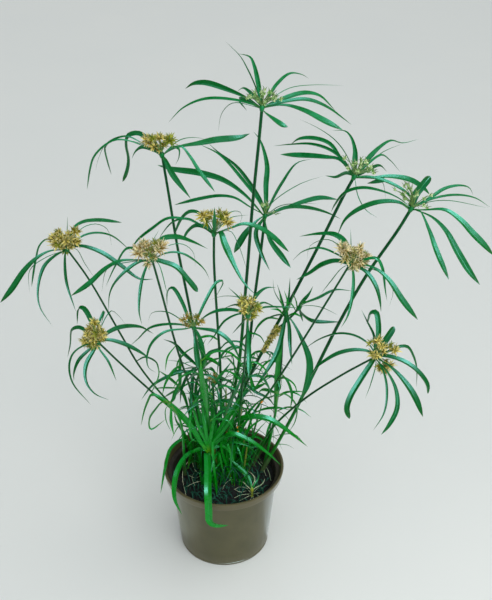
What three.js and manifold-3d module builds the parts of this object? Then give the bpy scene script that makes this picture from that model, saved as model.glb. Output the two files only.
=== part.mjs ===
// A potted umbrella sedge: a clump of green culms in a plain nursery pot, each culm with a whorl of
// long leafy bracts at its top, and most with a small umbel of flower spikelets above the whorl.
// Millimetres, +Z up. The origin is the middle of the pot's foot, and a viewer in front looks along +Y.

import * as THREE from "three";
import { mergeVertices } from "three/addons/utils/BufferGeometryUtils.js";
import Module from "manifold-3d";

const wasm = await Module();
wasm.setup();

// The pot: a tapering wall with a collar that stands proud of it
const POT_HEIGHT = 160;
const FOOT_RADIUS = 74.5;
const RIM_RADIUS = 100;
const COLLAR_HEIGHT = 14;
const COLLAR_TAPER = 2;
const COLLAR_STEP = 9.2;
const RIM_WIDTH = 4.5;
const WALL = 2.6;
const FLOOR = 3.5;
const EDGE_ROUND = 1.2;
const POT_FACETS = 28;
const DRAIN_HOLES = 6;
const DRAIN_RADIUS = 5;
const DRAIN_CIRCLE = 52;
const DRAIN_FACETS = 8;

// The soil, how deep a culm is rooted, the gap that every piece keeps to its neighbour, and how far
// one part of a piece is sunk into another
const SOIL_LEVEL = 133;
const SOIL_MOUND = 5;
const SOIL_RINGS = [1, 0.6, 0.3];
const ROOTING_DEPTH = 14;
const GAP = 0.4;
const SUNK = 1;

// The culms: five-sided in section, thickest at the foot
const CULM_RADIUS = 2.5;
const CULM_FOOT_RADIUS = 3.4;
const CULM_CORNERS = 5;
const CULM_STEPS = 5;

// The hub at a culm's top, slimmer at its ends, with its bracts growing from five levels in turn
const HUB_LENGTH = 9;
const HUB_RADIUS = 3.9;
const HUB_END_SHARE = 0.72;
const HUB_CORNERS = 5;
const BRACT_LEVELS = 5;
const BRACT_LEVEL_STEP = 1;
const BRACT_LEVEL_STRIDE = 3;

// An umbel: the size of its core and its height, both in parts of its reach, and how steeply down a
// cluster may point before it shortens, from where there is none to where it is whole
const CORE_SHARE = 0.3;
const DOME_HEIGHT = 0.8;
const NO_CLUSTER_BELOW = -0.45;
const WHOLE_CLUSTER_ABOVE = 0.2;
const STALK_RADIUS = 1.6;
const STALK_CORNERS = 4;

// A blade: how wide it is at its root, where along it is widest, how bluntly it tapers, and how far its
// depth runs ahead of its length. In section it is a shallow keel under a flat top, in parts of its
// half width, and its slot in the soil has a wider section of the same kind.
const BLADE_ROOT_SHARE = 0.28;
const BLADE_WIDEST = 0.55;
const BLADE_BLUNTNESS = 1.6;
const BLADE_ARCH = 1.4;
const SLIM_BLADE = 7;
const SLIM_BLADE_STEPS = 3;
const BLADE_STEPS = 4;
const BLADE_CORNERS = [[1, 0.16], [-1, 0.16], [0, -0.26]];
const BLADE_SLOT_CORNERS = [[1.6, 0.5], [-1.6, 0.5], [0, -1]];

// Where the photograph was taken from: the eye, how far it looks down, and the lens in pixels.
// Culms and blades are placed by the pixels that they pass there.
const EYE = new THREE.Vector3(37, -1515, 1495);
const LOOKING_DOWN = THREE.MathUtils.degToRad(33.6);
const FOCAL_PIXELS = 1200;
const PICTURE_MIDDLE = [246, 300];

// A piece whose ends lie this near to plumb over each other is lofted as an upright one
const UPRIGHT_WITHIN = 1;

// Colours, with how rough and how metallic each surface is
const POT_FINISH = { color: 0x5f5842, roughness: 0.62, metalness: 0 };
const SOIL_FINISH = { color: 0x1c1712, roughness: 0.98, metalness: 0 };
const CULM_FINISH = { color: 0x2f6b2c, roughness: 0.5, metalness: 0 };
const BRACT_FINISH = { color: 0x1f6b33, roughness: 0.45, metalness: 0 };
const LEAF_FINISH = { color: 0x2a7d2c, roughness: 0.45, metalness: 0 };
const SHOOT_FINISH = { color: 0x3f8a35, roughness: 0.5, metalness: 0 };
const PALE_FLOWERS = { color: 0xb9c98a, roughness: 0.8, metalness: 0 };
const YELLOW_FLOWERS = { color: 0xb8a545, roughness: 0.8, metalness: 0 };
const BROWN_FLOWERS = { color: 0x8a6a33, roughness: 0.85, metalness: 0 };

// Each culm, read from the photograph. hub is the pixel of its top and depth how far its top stands
// behind the middle of the pot; foot is where it leaves the soil, in x and y; passes are pixels along
// it, top first. umbel gives the pixel of its middle and how far its clusters reach. A bract is its
// width, how far its tip hangs below the hub, and then the pixels that it passes, its tip last.
const CULMS = [
  {
    name: "01", hub: [262, 108], depth: 40, foot: [-4, 52],
    passes: [[259, 140], [253, 200], [246, 285], [238, 370], [226, 425]],
    umbel: { middle: [262, 99], reach: 28, finish: PALE_FLOWERS },
    bracts: [
      [12.5, 10, [250, 100], [225, 89], [205, 83], [193, 84], [185, 89]],
      [6, 40, [235, 100], [205, 99], [183, 108], [168, 123]],
      [9.5, 32, [250, 102], [239, 99], [247, 111]],
      [7.5, 15, [250, 92], [242, 87], [236, 90]],
      [6, -35, [259, 88], [254, 65], [250, 57], [238, 53.5]],
      [4, -45, [256, 88], [247, 68], [240, 56], [225, 41]],
      [7.5, -10, [268, 98], [277, 84], [290, 73.5], [303, 75], [309, 79]],
      [9.5, 30, [280, 100], [305, 93], [320, 96], [331, 106], [336, 112]],
      [8, 40, [283, 102], [305, 99.5], [325, 106], [352, 125]],
      [12.5, 45, [283, 104], [303, 108], [325, 119], [343, 129]],
      [12.5, 35, [270, 114], [282, 122], [288, 126]],
    ],
  },
  {
    name: "02", hub: [162, 155], depth: 60, foot: [-22, 56],
    passes: [[168, 190], [178, 250], [191, 315], [200, 370], [207, 420]],
    umbel: { middle: [158, 142], reach: 25, finish: YELLOW_FLOWERS },
    bracts: [
      [7.5, 48, [145, 146], [130, 137], [112, 139], [98, 149], [90, 165], [86, 191]],
      [7.5, 35, [140, 144], [120, 139.5], [107, 144], [105, 155], [111, 175]],
      [9.5, 60, [143, 134], [133, 134], [126, 142], [126, 155], [123, 181]],
      [4.5, 30, [146, 146], [136, 152], [131, 160]],
      [13.5, 5, [175, 145], [200, 141], [215, 138], [240, 136], [250, 133]],
      [9.5, 42, [165, 160], [172, 174], [191, 199]],
      [7.5, 50, [180, 146], [190, 157], [198, 170], [215, 192]],
      [4.5, 25, [172, 147], [178.5, 155], [175, 166]],
    ],
  },
  {
    name: "03", hub: [354, 177], depth: 75, foot: [10, 66],
    passes: [[344, 195], [318, 247], [292, 297], [262, 352], [240, 400]],
    umbel: { middle: [358, 167], reach: 25, finish: PALE_FLOWERS },
    bracts: [
      [9.5, -10, [340, 157], [330, 144], [315, 138.5], [299, 139], [291, 144]],
      [7.5, -5, [341, 158], [328, 149], [310, 144], [290, 144.5], [273, 146]],
      [12.5, 0, [340, 158], [325, 155.5], [295, 153.5], [280, 153.5]],
      [9.5, 30, [347, 173], [335, 177], [325, 175.5]],
      [8, -30, [355, 160], [355, 150], [351, 137], [345, 131], [332, 130.5]],
      [7.5, -15, [369, 158], [380, 147], [391, 140.5], [403, 143], [419, 139]],
      [4.5, 30, [381, 155], [390, 160], [401, 173]],
      [7.5, 25, [373, 167], [380, 165.5], [387, 172]],
      [11, 40, [370, 176], [390, 174.5], [410, 178], [425, 188], [430, 195]],
      [8, 48, [370, 177], [390, 183], [408, 194], [420, 210]],
      [9.5, 30, [372, 178], [385, 179], [377, 181], [367, 183.5]],
    ],
  },
  {
    name: "04", hub: [411, 209], depth: 10, foot: [60, 18],
    passes: [[398, 230], [366, 276], [338, 325], [308, 385], [293, 415]],
    umbel: { middle: [414, 198], reach: 28, finish: PALE_FLOWERS },
    bracts: [
      [9.5, 45, [400, 203], [382, 202], [362, 208], [346, 219], [337, 236]],
      [9.5, 33, [400, 199], [383, 191.5], [362, 188], [345, 193], [334, 206], [331, 212]],
      [16, -25, [414, 197], [422, 186], [431, 176]],
      [8, 10, [430, 197], [445, 187], [460, 184], [470, 187], [473.5, 196]],
      [4.5, 28, [432, 199], [455, 195], [475, 198], [491, 208]],
      [14.5, 54, [425, 210], [445, 210], [460, 220], [472, 233], [486, 247], [494, 256]],
      [12.5, 73, [433, 217], [447, 230], [458, 249], [470, 269], [480, 285]],
      [11, 70, [419, 210], [430, 230], [437, 250], [449, 280]],
    ],
  },
  {
    name: "05", hub: [265, 216], depth: 95, foot: [8, 46],
    passes: [[261, 250], [253, 310], [247, 365], [233, 420]],
    umbel: { middle: [267, 208], reach: 12, finish: PALE_FLOWERS },
    bracts: [
      [15.5, -35, [246, 195], [224, 179], [200, 172], [173, 168], [157, 164]],
      [9.5, 10, [250, 207], [235, 198], [220, 196], [200, 199], [174, 205]],
      [6, -70, [262, 203], [246, 178], [235, 165], [218, 152], [208, 143]],
      [4.5, -70, [260, 203], [246, 184], [220, 155], [199, 144]],
      [11, -80, [266, 203], [266, 185], [267, 165], [260, 140], [253, 131]],
      [6, -40, [270, 205], [282, 183], [297, 163], [312, 159]],
      [16, 50, [258, 220], [247, 232], [234, 253]],
      [7.5, 60, [256, 232], [260, 250], [270, 271]],
      [9.5, 55, [265, 222], [270, 240], [283, 258], [291, 268]],
      [9.5, 10, [280, 210], [300, 203], [320, 198], [338, 199.5]],
      [7.5, 35, [285, 208], [305, 207.5], [325, 212], [341, 219]],
    ],
  },
  {
    name: "06", hub: [214, 234], depth: -10, foot: [-8, 32],
    passes: [[214, 262], [218, 330], [220, 360], [221, 420]],
    umbel: { middle: [215, 219], reach: 26, finish: YELLOW_FLOWERS },
    bracts: [
      [7.5, 33, [203, 227], [187, 219], [173, 222], [162, 234], [158, 241]],
      [9.5, 32, [205, 227], [195, 225], [187, 231], [183, 238]],
      [6, 30, [200, 214], [193, 211], [182, 219], [173, 232], [170, 240]],
      [8, 38, [200, 224], [185, 219], [168, 218.5], [152, 229], [138, 240], [131, 249]],
      [9.5, -5, [215, 221], [215, 209]],
      [15.5, 65, [220, 232], [224, 242], [232, 258], [245, 283], [257, 296]],
      [13, 40, [231, 228], [243, 224], [257, 227], [270, 235], [289, 252]],
    ],
  },
  {
    name: "07", hub: [67, 249], depth: 20, foot: [-46, 44],
    passes: [[88, 278], [120, 333], [140, 367], [165, 398], [192, 425]],
    umbel: { middle: [64, 243], reach: 23, finish: YELLOW_FLOWERS },
    bracts: [
      [12.5, 60, [50, 251], [37, 258], [25, 270], [12, 289], [0, 303]],
      [7.5, 78, [48, 239], [40, 245], [36, 260], [31.5, 287]],
      [8, 74, [55, 256], [44, 267], [38, 290], [40, 307], [53, 327]],
      [6, 65, [65, 256], [66.5, 282], [76, 312]],
      [9.5, 46, [80, 246], [100, 252], [120, 265], [140, 279], [154, 279]],
      [6, 32, [81, 237], [95, 233], [112, 236], [132, 252]],
      [11, 0, [74, 227], [82, 221], [97, 219], [122, 221.5]],
    ],
  },
  {
    name: "08", hub: [152, 259], depth: -90, foot: [-30, 32],
    passes: [[161, 291], [176, 345], [197, 412]],
    umbel: { middle: [149, 252], reach: 26, finish: YELLOW_FLOWERS },
    bracts: [
      [11, 50, [135, 259], [120, 260], [105, 267], [88, 282], [71, 296]],
      [6, 65, [138, 250], [128, 248], [116, 265], [105.5, 287]],
      [8, 60, [137, 263], [117, 280], [110, 293], [108.5, 313]],
      [6, 66, [146, 268], [141, 285], [139, 311], [142, 325]],
      [11, 48, [163, 262], [176, 267], [188, 280], [198, 292]],
      [4.5, 40, [167, 253], [182, 253.5], [203, 268], [210, 280]],
      [9.5, 22, [161, 240], [176, 237], [193, 242], [208, 249]],
    ],
  },
  {
    name: "09", hub: [350, 264], depth: -90, foot: [24, 32],
    passes: [[331, 295], [293, 356], [272, 388], [254, 413]],
    umbel: { middle: [354, 256], reach: 25, finish: YELLOW_FLOWERS },
    bracts: [
      [11, 0, [345, 243], [335, 235], [318, 234], [299, 236.5]],
      [4.5, 28, [340, 256], [320, 248], [303, 251.5], [292, 261]],
      [9.5, 38, [337, 260], [322, 263], [308, 272], [296, 280]],
      [6, 66, [353, 271], [353, 290], [348, 315], [341, 328]],
      [8, 56, [366, 271], [377, 285], [381, 302], [381, 312]],
      [6, 50, [376, 258], [382, 267], [385, 288], [387, 301]],
      [11, 62, [372, 266], [388, 277], [404, 299], [418, 320]],
    ],
  },
  {
    name: "10", hub: [98, 342], depth: -90, foot: [-48, 28],
    passes: [[120, 363], [152, 392], [175, 412], [190, 428]],
    umbel: { middle: [94, 335], reach: 22, finish: YELLOW_FLOWERS },
    bracts: [
      [9.5, 10, [92, 323], [86, 311], [83, 308], [79, 308], [77, 325]],
      [9.5, 60, [90, 334], [80, 327.5], [72, 330], [70, 345], [67.5, 358]],
      [7.5, 62, [83, 346], [73, 354], [69.5, 366], [73, 383], [91.5, 405.5]],
      [6, 50, [90, 349], [79, 360], [74, 373], [74, 381]],
      [9.5, 58, [94, 350], [86, 365], [86, 381], [94, 393], [110, 400.5]],
      [4.5, 52, [99, 348], [108, 361], [116.5, 381]],
      [9.5, 28, [106, 334], [120, 327.5], [140, 327], [154, 334]],
      [8, 40, [107, 340], [122, 343.5], [138, 351], [152, 360]],
      [4.5, 10, [99, 323], [104, 311], [101, 325]],
    ],
  },
  {
    name: "11", hub: [194, 328], depth: -110, foot: [-22, 16],
    passes: [[198, 350], [204, 390], [210, 430]],
    umbel: { middle: [192, 320], reach: 15, finish: BROWN_FLOWERS },
    bracts: [
      [9.5, 5, [190, 322], [182, 302], [173, 288], [168, 290], [167, 308]],
      [7.5, -5, [197, 320], [206, 300], [217, 282], [223, 281], [216, 297]],
      [6, 40, [183, 325], [165, 324.5], [150, 328], [138, 339], [130, 346]],
      [7.5, 50, [185, 329], [165, 332], [152, 343], [147, 358], [149, 368], [157, 373]],
      [7.5, 48, [202, 329], [217, 332], [231, 343], [241, 362]],
      [16, 50, [195, 342], [199, 370]],
      [7.5, 45, [198, 335], [206, 357]],
    ],
  },
  {
    name: "12", hub: [248, 316], depth: -130, foot: [10, 31],
    passes: [[246, 345], [241, 400], [237, 435]],
    umbel: { middle: [248, 308], reach: 19, finish: YELLOW_FLOWERS },
    bracts: [
      [7.5, 34, [238, 311], [218, 311], [203, 318], [198, 324]],
      [4.5, 25, [237, 305], [222, 309]],
      [6, 46, [240, 314], [225, 321], [215, 335], [207, 345]],
      [4.5, -10, [241, 300], [228, 287]],
      [4.5, 25, [262, 308], [280, 307], [300, 308]],
      [4.5, 28, [262, 303], [275, 307], [282, 311]],
      [6, -5, [256, 296], [266, 288], [276, 287.5]],
      [12.5, 35, [248, 325], [249, 350], [250, 370]],
      [4.5, 40, [243, 322], [232, 334]],
    ],
  },
  {
    name: "13", hub: [375, 357], depth: -100, foot: [46, 34],
    passes: [[340, 376], [303, 400], [270, 431]],
    umbel: { middle: [382, 352], reach: 22, finish: YELLOW_FLOWERS },
    bracts: [
      [12.5, -15, [378, 336], [377, 317], [375, 311], [370, 311], [366, 325]],
      [12.5, -10, [384, 343], [394, 328]],
      [6, 70, [383, 354], [396, 348], [409, 347], [415, 360], [416.5, 387]],
      [9.5, 48, [386, 357], [404, 363], [420, 373], [428.5, 388], [427, 394]],
      [11, 65, [392, 370], [405, 383], [416, 401], [425, 419]],
      [9.5, 76, [388, 373], [396, 390], [397, 408], [389, 425], [381, 435]],
      [6, 72, [384, 373], [387, 392], [384, 413], [373, 431]],
      [13.5, 68, [371, 362], [360, 379], [351, 396], [348, 412], [351, 426]],
      [9.5, 42, [370, 352], [352, 350.5], [332, 356], [315, 368], [309, 379]],
      [6, 28, [371, 347], [358, 337], [340, 333.5], [320, 339], [303, 350]],
    ],
  },
  {
    name: "14", hub: [286, 314], depth: 0, foot: [52, 54],
    passes: [[283, 330], [281, 365], [277, 400], [271, 432]],
    bracts: [
      [4.5, -15, [289, 295], [290, 277]],
      [4.5, -5, [284, 308], [279, 290], [277, 284]],
      [13.5, 125, [292, 321], [302, 340], [309, 360], [308, 380], [301, 400]],
      [7.5, 55, [289, 326], [290, 345], [292, 365]],
      [9.5, 74, [276, 327], [272, 358], [262, 382], [249, 392]],
      [4.5, 32, [278, 315], [262, 320]],
    ],
  },
  {
    name: "15", hub: [299, 308], depth: 35, foot: [24, 52],
    passes: [[290, 318], [277, 330], [264, 350], [252, 372], [241, 400]],
    bracts: [
      [9.5, 0, [300, 305], [308, 292], [313, 286]],
      [7.5, 10, [303, 304], [318, 298], [335, 290], [353, 291]],
      [8, 40, [303, 315], [312, 321], [341, 322]],
      [7.5, 38, [300, 312], [303, 322]],
    ],
  },
  {
    name: "16", hub: [199, 368], depth: 85, foot: [-26, 70],
    passes: [[202, 390], [207, 425]],
    bracts: [
      [9.5, 45, [190, 371], [178, 373], [165, 378], [152, 386], [141, 400]],
      [8, -5, [193, 362], [183, 353], [175, 344], [163, 339]],
      [8, 55, [194, 373], [192, 388], [191, 405], [191, 422]],
      [9.5, 5, [204, 362], [210, 353], [218, 349], [225, 345]],
      [8, -10, [203, 358], [199, 345], [195, 335]],
      [8, 100, [208, 373], [210, 392], [213, 412]],
    ],
  },
  {
    name: "17", hub: [213, 384], depth: -35, foot: [-4, 6],
    passes: [[214, 400], [218, 425]],
    umbel: { middle: [214, 377], reach: 9, finish: BROWN_FLOWERS },
    bracts: [
      [9.5, 35, [219, 378], [228, 381], [238, 387]],
      [6, 0, [222, 374], [232, 361]],
      [4.5, 45, [217, 390], [220, 402], [224, 418]],
      [4.5, 30, [207, 380], [201, 377]],
    ],
  },
];

// Young shoots, each grown as one piece: a short stem and its few leaves
const SHOOTS = [
  {
    name: "1", hub: [180, 388], depth: 50, foot: [-46, 60],
    passes: [[187, 405]],
    bracts: [
      [8, -10, [180, 380], [180, 365], [181, 350]],
      [6, 10, [175, 383], [168, 377], [158, 370]],
      [4.5, 30, [172, 388], [160, 388], [152, 389]],
      [7.5, 40, [175, 391], [168, 395], [163, 398]],
      [6.5, 40, [177, 393], [172, 400], [169, 406]],
      [7.5, 45, [183, 392], [186, 402], [190, 412]],
    ],
  },
  {
    name: "2", hub: [277, 394], depth: -10, foot: [66, 30],
    passes: [[276, 410]],
    bracts: [
      [6, 75, [284, 394], [291, 398], [297, 408], [295, 422], [288, 433]],
      [7.5, 30, [270, 391], [262, 390], [256, 396]],
      [4.5, 28, [271, 397], [262, 399]],
      [4.5, -25, [280, 388], [277, 378], [273, 373]],
    ],
  },
  {
    name: "3", hub: [170, 404], depth: -62, foot: [-66, 12],
    passes: [[180, 420]],
    bracts: [
      [9.5, 45, [163, 399], [152, 395], [147, 403], [143, 415], [141, 426]],
      [7.5, 42, [163, 402], [155, 410], [149, 420], [151, 429], [166, 419]],
      [6, 50, [171, 410], [171, 420], [174, 436]],
      [7.5, 0, [173, 400], [175, 393], [180, 380]],
    ],
  },
  {
    name: "4", hub: [252, 490], depth: -46, foot: [47, -44],
    passes: [],
    bracts: [
      [6.5, -45, [251, 484], [247, 475], [238, 466], [226, 456]],
    ],
  },
];

// The long leaves at the foot of the clump. route holds, for each point that a leaf passes, the pixel
// and how far behind the middle of the pot it lies; foot is where it leaves the soil.
const LEAVES = [
  {
    name: "right", width: 10, foot: [6, 15],
    route: [[235, 423, 0], [250, 417, -8], [268, 419, -14], [285, 429, -18], [308, 447, -20]],
  },
  {
    name: "front", width: 14, foot: [-31, -6],
    route: [[207, 452, -24], [208, 470, -62], [208, 492, -96], [209, 521, -112], [228, 525, -113]],
  },
  {
    name: "front_left", width: 10, foot: [-36, 4],
    route: [[196, 451, -8], [184, 459, -34], [176, 477, -62], [175, 498, -78], [182, 515, -90]],
  },
  {
    name: "left", width: 8, foot: [-62, 26],
    route: [[190, 443, 14], [182, 440, 4], [171, 449, -10], [166, 466, -24], [160.5, 494, -34]],
  },
  {
    name: "front_right", width: 9, foot: [14, -8],
    route: [[222, 440, -24], [232, 434, -30], [250, 441, -34], [266, 452, -36], [282, 466, -38]],
  },
];

const sum = (...points) => points.reduce((total, point) => total.add(point), new THREE.Vector3());
const along = (direction, distance) => direction.clone().multiplyScalar(distance);

// The direction in which a pixel of the photograph is seen from the eye.
function sight([u, v]) {
  const right = (u - PICTURE_MIDDLE[0]) / FOCAL_PIXELS;
  const up = (PICTURE_MIDDLE[1] - v) / FOCAL_PIXELS;
  const [sine, cosine] = [Math.sin(LOOKING_DOWN), Math.cos(LOOKING_DOWN)];
  return new THREE.Vector3(right, cosine + up * sine, up * cosine - sine);
}

// The point that a pixel shows, where it lies at a given depth behind the pot's middle.
function seenAtDepth(pixel, depth) {
  const ray = sight(pixel);
  return sum(EYE, along(ray, (depth - EYE.y) / ray.y));
}

// The point that a pixel shows, where it lies at a given height.
function seenAtHeight(pixel, height) {
  const ray = sight(pixel);
  return sum(EYE, along(ray, (height - EYE.z) / ray.z));
}

// How far along a row of pixels each one lies, from 0 at the first to 1 at the last.
function shares(pixels) {
  const passed = [0];
  for (let i = 1; i < pixels.length; i++) {
    const step = Math.hypot(pixels[i][0] - pixels[i - 1][0], pixels[i][1] - pixels[i - 1][1]);
    passed.push(passed[i - 1] + step);
  }
  return passed.map((length) => length / passed.at(-1));
}

// A smooth curve from start to end whose points between them are seen at the given pixels. Its depth
// runs ahead of its length by the given power: 1 is even.
function curveThrough(start, end, pixels, power = 1) {
  const ahead = shares(pixels).map((share) => 1 - (1 - share) ** power);
  const points = pixels.map((pixel, i) =>
    seenAtDepth(pixel, THREE.MathUtils.lerp(start.y, end.y, ahead[i])));
  points[0] = start;
  points[points.length - 1] = end;
  return new THREE.CatmullRomCurve3(points, false, "centripetal");
}

// A closed solid: a section of [side, top] corners carried along a curve, with its half size at each
// share of the length given by sizeAt. A pointed one ends in a single vertex.
function loft(curve, steps, corners, sizeAt, pointed) {
  const rings = pointed ? steps : steps + 1;
  const across = curve.getPointAt(1).sub(curve.getPointAt(0));
  const side = new THREE.Vector3(across.y, -across.x, 0);
  if (side.length() < UPRIGHT_WITHIN) side.set(1, 0, 0);
  side.normalize();
  const positions = [];
  for (let i = 0; i < rings; i++) {
    const t = i / steps;
    const middle = curve.getPointAt(t);
    const tangent = curve.getTangentAt(t);
    side.addScaledVector(tangent, -side.dot(tangent)).normalize();
    const top = side.clone().cross(tangent);
    for (const [a, b] of corners) {
      positions.push(...sum(middle, along(side, a * sizeAt(t)), along(top, b * sizeAt(t))));
    }
  }
  const n = corners.length;
  const faces = [];
  for (let k = 0; k < n; k++) {
    const next = (k + 1) % n;
    for (let i = 0; i < rings - 1; i++) {
      const [near, far] = [i * n, (i + 1) * n];
      faces.push(near + k, far + k, near + next, near + next, far + k, far + next);
    }
    if (pointed) faces.push((rings - 1) * n + k, rings * n, (rings - 1) * n + next);
  }
  for (let k = 1; k < n - 1; k++) {
    faces.push(0, k, k + 1);
    if (!pointed) faces.push((rings - 1) * n, (rings - 1) * n + k + 1, (rings - 1) * n + k);
  }
  if (pointed) positions.push(...curve.getPointAt(1));
  const geometry = new THREE.BufferGeometry();
  geometry.setAttribute("position", new THREE.Float32BufferAttribute(positions, 3));
  geometry.setIndex(faces);
  return geometry;
}

// A regular section of a round stem.
function roundCorners(count) {
  return Array.from({ length: count }, (_, k) => {
    const angle = (2 * Math.PI * k) / count;
    return [Math.cos(angle), Math.sin(angle)];
  });
}

// A geometry as a solid that can be joined and cut, and back.
function solid(geometry) {
  const bare = geometry.clone();
  bare.deleteAttribute("normal");
  bare.deleteAttribute("uv");
  const merged = mergeVertices(bare, 1e-4);
  return new wasm.Manifold(new wasm.Mesh({
    numProp: 3,
    vertProperties: new Float32Array(merged.attributes.position.array),
    triVerts: new Uint32Array(merged.index.array),
  }));
}

function geometryOf(made) {
  const { vertProperties, triVerts } = made.getMesh();
  const geometry = new THREE.BufferGeometry();
  geometry.setAttribute("position", new THREE.BufferAttribute(vertProperties, 3));
  geometry.setIndex(new THREE.BufferAttribute(triVerts, 1));
  return geometry;
}

// A blade is slim where it leaves the hub, widest past its middle, and tapers to a point.
function bladeHalfWidth(width) {
  const swelling = (t) => THREE.MathUtils.lerp(BLADE_ROOT_SHARE, 1,
    Math.sin(Math.min(t / BLADE_WIDEST, 1) * Math.PI / 2));
  const tapering = (t) =>
    1 - (Math.max(t - BLADE_WIDEST, 0) / (1 - BLADE_WIDEST)) ** BLADE_BLUNTNESS;
  return (t) => (width / 2) * swelling(t) * tapering(t);
}

function bract(start, hubPixel, [width, drop, ...pixels]) {
  const tip = seenAtHeight(pixels.at(-1), start.z - drop);
  const curve = curveThrough(start, tip, [hubPixel, ...pixels], BLADE_ARCH);
  const steps = width < SLIM_BLADE ? SLIM_BLADE_STEPS : BLADE_STEPS;
  return solid(loft(curve, steps, BLADE_CORNERS, bladeHalfWidth(width), true));
}

// The pixel of the photograph in which a point is seen.
function pictured(point) {
  const away = point.clone().sub(EYE);
  const [sine, cosine] = [Math.sin(LOOKING_DOWN), Math.cos(LOOKING_DOWN)];
  const scale = FOCAL_PIXELS / (away.y * cosine - away.z * sine);
  return [PICTURE_MIDDLE[0] + away.x * scale,
    PICTURE_MIDDLE[1] - (away.y * sine + away.z * cosine) * scale];
}

// A curve whose first point is a little lower, for a socket that is deeper than what stands in it.
function lowered(curve, drop) {
  const [root, ...rest] = curve.points;
  return new THREE.CatmullRomCurve3([sum(root, new THREE.Vector3(0, 0, -drop)), ...rest], false,
    "centripetal");
}

// A culm's line: the middle of its hub, the direction in which it reaches it, and its curve from the
// bottom of its socket in the soil to just under the hub.
function culmLine({ hub, depth, foot, passes }) {
  const top = seenAtDepth(hub, depth);
  const root = new THREE.Vector3(foot[0], foot[1], SOIL_LEVEL - ROOTING_DEPTH);
  const whole = curveThrough(top, root, [hub, ...passes, pictured(root)]);
  const direction = whole.getTangent(0).negate();
  const points = whole.points.slice(1).reverse();
  points.push(sum(top, along(direction, -HUB_LENGTH / 2 - GAP)));
  return { top, direction, curve: new THREE.CatmullRomCurve3(points, false, "centripetal") };
}

function culm(curve, spare = 0) {
  const radiusAt = (t) => THREE.MathUtils.lerp(CULM_FOOT_RADIUS, CULM_RADIUS, t) + spare;
  return solid(loft(lowered(curve, spare), CULM_STEPS, roundCorners(CULM_CORNERS), radiusAt, false));
}

// The hub with its bracts, grown together.
function whorl({ hub, bracts }, { top, direction }) {
  const half = along(direction, HUB_LENGTH / 2);
  const axis = new THREE.LineCurve3(sum(top, half.clone().negate()), sum(top, half));
  const bulge = (t) => HUB_RADIUS * THREE.MathUtils.lerp(HUB_END_SHARE, 1, Math.sin(Math.PI * t));
  let made = solid(loft(axis, 2, roundCorners(HUB_CORNERS), bulge, false));
  bracts.forEach((row, i) => {
    const level = ((i * BRACT_LEVEL_STRIDE) % BRACT_LEVELS) - (BRACT_LEVELS - 1) / 2;
    made = made.add(bract(sum(top, along(direction, level * BRACT_LEVEL_STEP)), hub, row));
  });
  return made;
}

// The umbel over the hub: a short stalk, a core, and a cluster of spikelets standing out on each facet
// of the core, long above and at the sides and short underneath.
function umbel({ middle, reach }, { top, direction }) {
  const heart = seenAtDepth(middle, top.y);
  const core = new THREE.IcosahedronGeometry(reach * CORE_SHARE);
  const corners = core.attributes.position;
  const positions = [...corners.array];
  const faces = [];
  for (let i = 0; i < corners.count; i += 3) {
    const facet = [i, i + 1, i + 2].map((k) => new THREE.Vector3().fromBufferAttribute(corners, k));
    const tip = sum(...facet).normalize();
    const whole = THREE.MathUtils.smoothstep(tip.z, NO_CLUSTER_BELOW, WHOLE_CLUSTER_ABOVE);
    tip.multiplyScalar(THREE.MathUtils.lerp(CORE_SHARE, 1, whole) * reach);
    positions.push(tip.x, tip.y, tip.z * DOME_HEIGHT);
    const apex = positions.length / 3 - 1;
    faces.push(i, i + 1, apex, i + 1, i + 2, apex, i + 2, i, apex);
  }
  const dome = new THREE.BufferGeometry();
  dome.setAttribute("position", new THREE.Float32BufferAttribute(positions, 3));
  dome.setIndex(faces);
  const stalk = new THREE.LineCurve3(sum(top, along(direction, HUB_LENGTH / 2 + STALK_RADIUS)), heart);
  const stalkSolid = solid(loft(stalk, 1, roundCorners(STALK_CORNERS), () => STALK_RADIUS, false));
  return solid(dome.translate(...heart)).add(stalkSolid);
}

// A turned piece: its profile runs in [radius, height] and is closed through the axis.
function turned(profile) {
  const points = profile.map(([radius, height]) => new THREE.Vector2(radius, height));
  return new THREE.LatheGeometry(points, POT_FACETS).rotateX(Math.PI / 2);
}

const COLLAR_LEVEL = POT_HEIGHT - COLLAR_HEIGHT;
const NECK_RADIUS = RIM_RADIUS - COLLAR_TAPER - COLLAR_STEP;
const wallRadius = (height) => THREE.MathUtils.lerp(FOOT_RADIUS, NECK_RADIUS, height / COLLAR_LEVEL);

function pot() {
  const inner = RIM_RADIUS - RIM_WIDTH;
  let made = solid(turned([
    [0, 0],
    [FOOT_RADIUS - EDGE_ROUND, 0],
    [wallRadius(EDGE_ROUND), EDGE_ROUND],
    [NECK_RADIUS, COLLAR_LEVEL],
    [RIM_RADIUS - COLLAR_TAPER, COLLAR_LEVEL + EDGE_ROUND],
    [RIM_RADIUS, POT_HEIGHT - EDGE_ROUND],
    [RIM_RADIUS - EDGE_ROUND, POT_HEIGHT],
    [inner, POT_HEIGHT],
    [inner - COLLAR_TAPER, COLLAR_LEVEL + WALL],
    [NECK_RADIUS - WALL, COLLAR_LEVEL],
    [wallRadius(FLOOR) - WALL, FLOOR],
    [0, FLOOR],
  ]));
  for (let i = 0; i < DRAIN_HOLES; i++) {
    const angle = (2 * Math.PI * i) / DRAIN_HOLES;
    const drill = new THREE.CylinderGeometry(DRAIN_RADIUS, DRAIN_RADIUS, 4 * FLOOR,
      DRAIN_FACETS)
      .rotateX(Math.PI / 2)
      .translate(DRAIN_CIRCLE * Math.cos(angle), DRAIN_CIRCLE * Math.sin(angle), 0);
    made = made.subtract(solid(drill));
  }
  return made;
}

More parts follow.
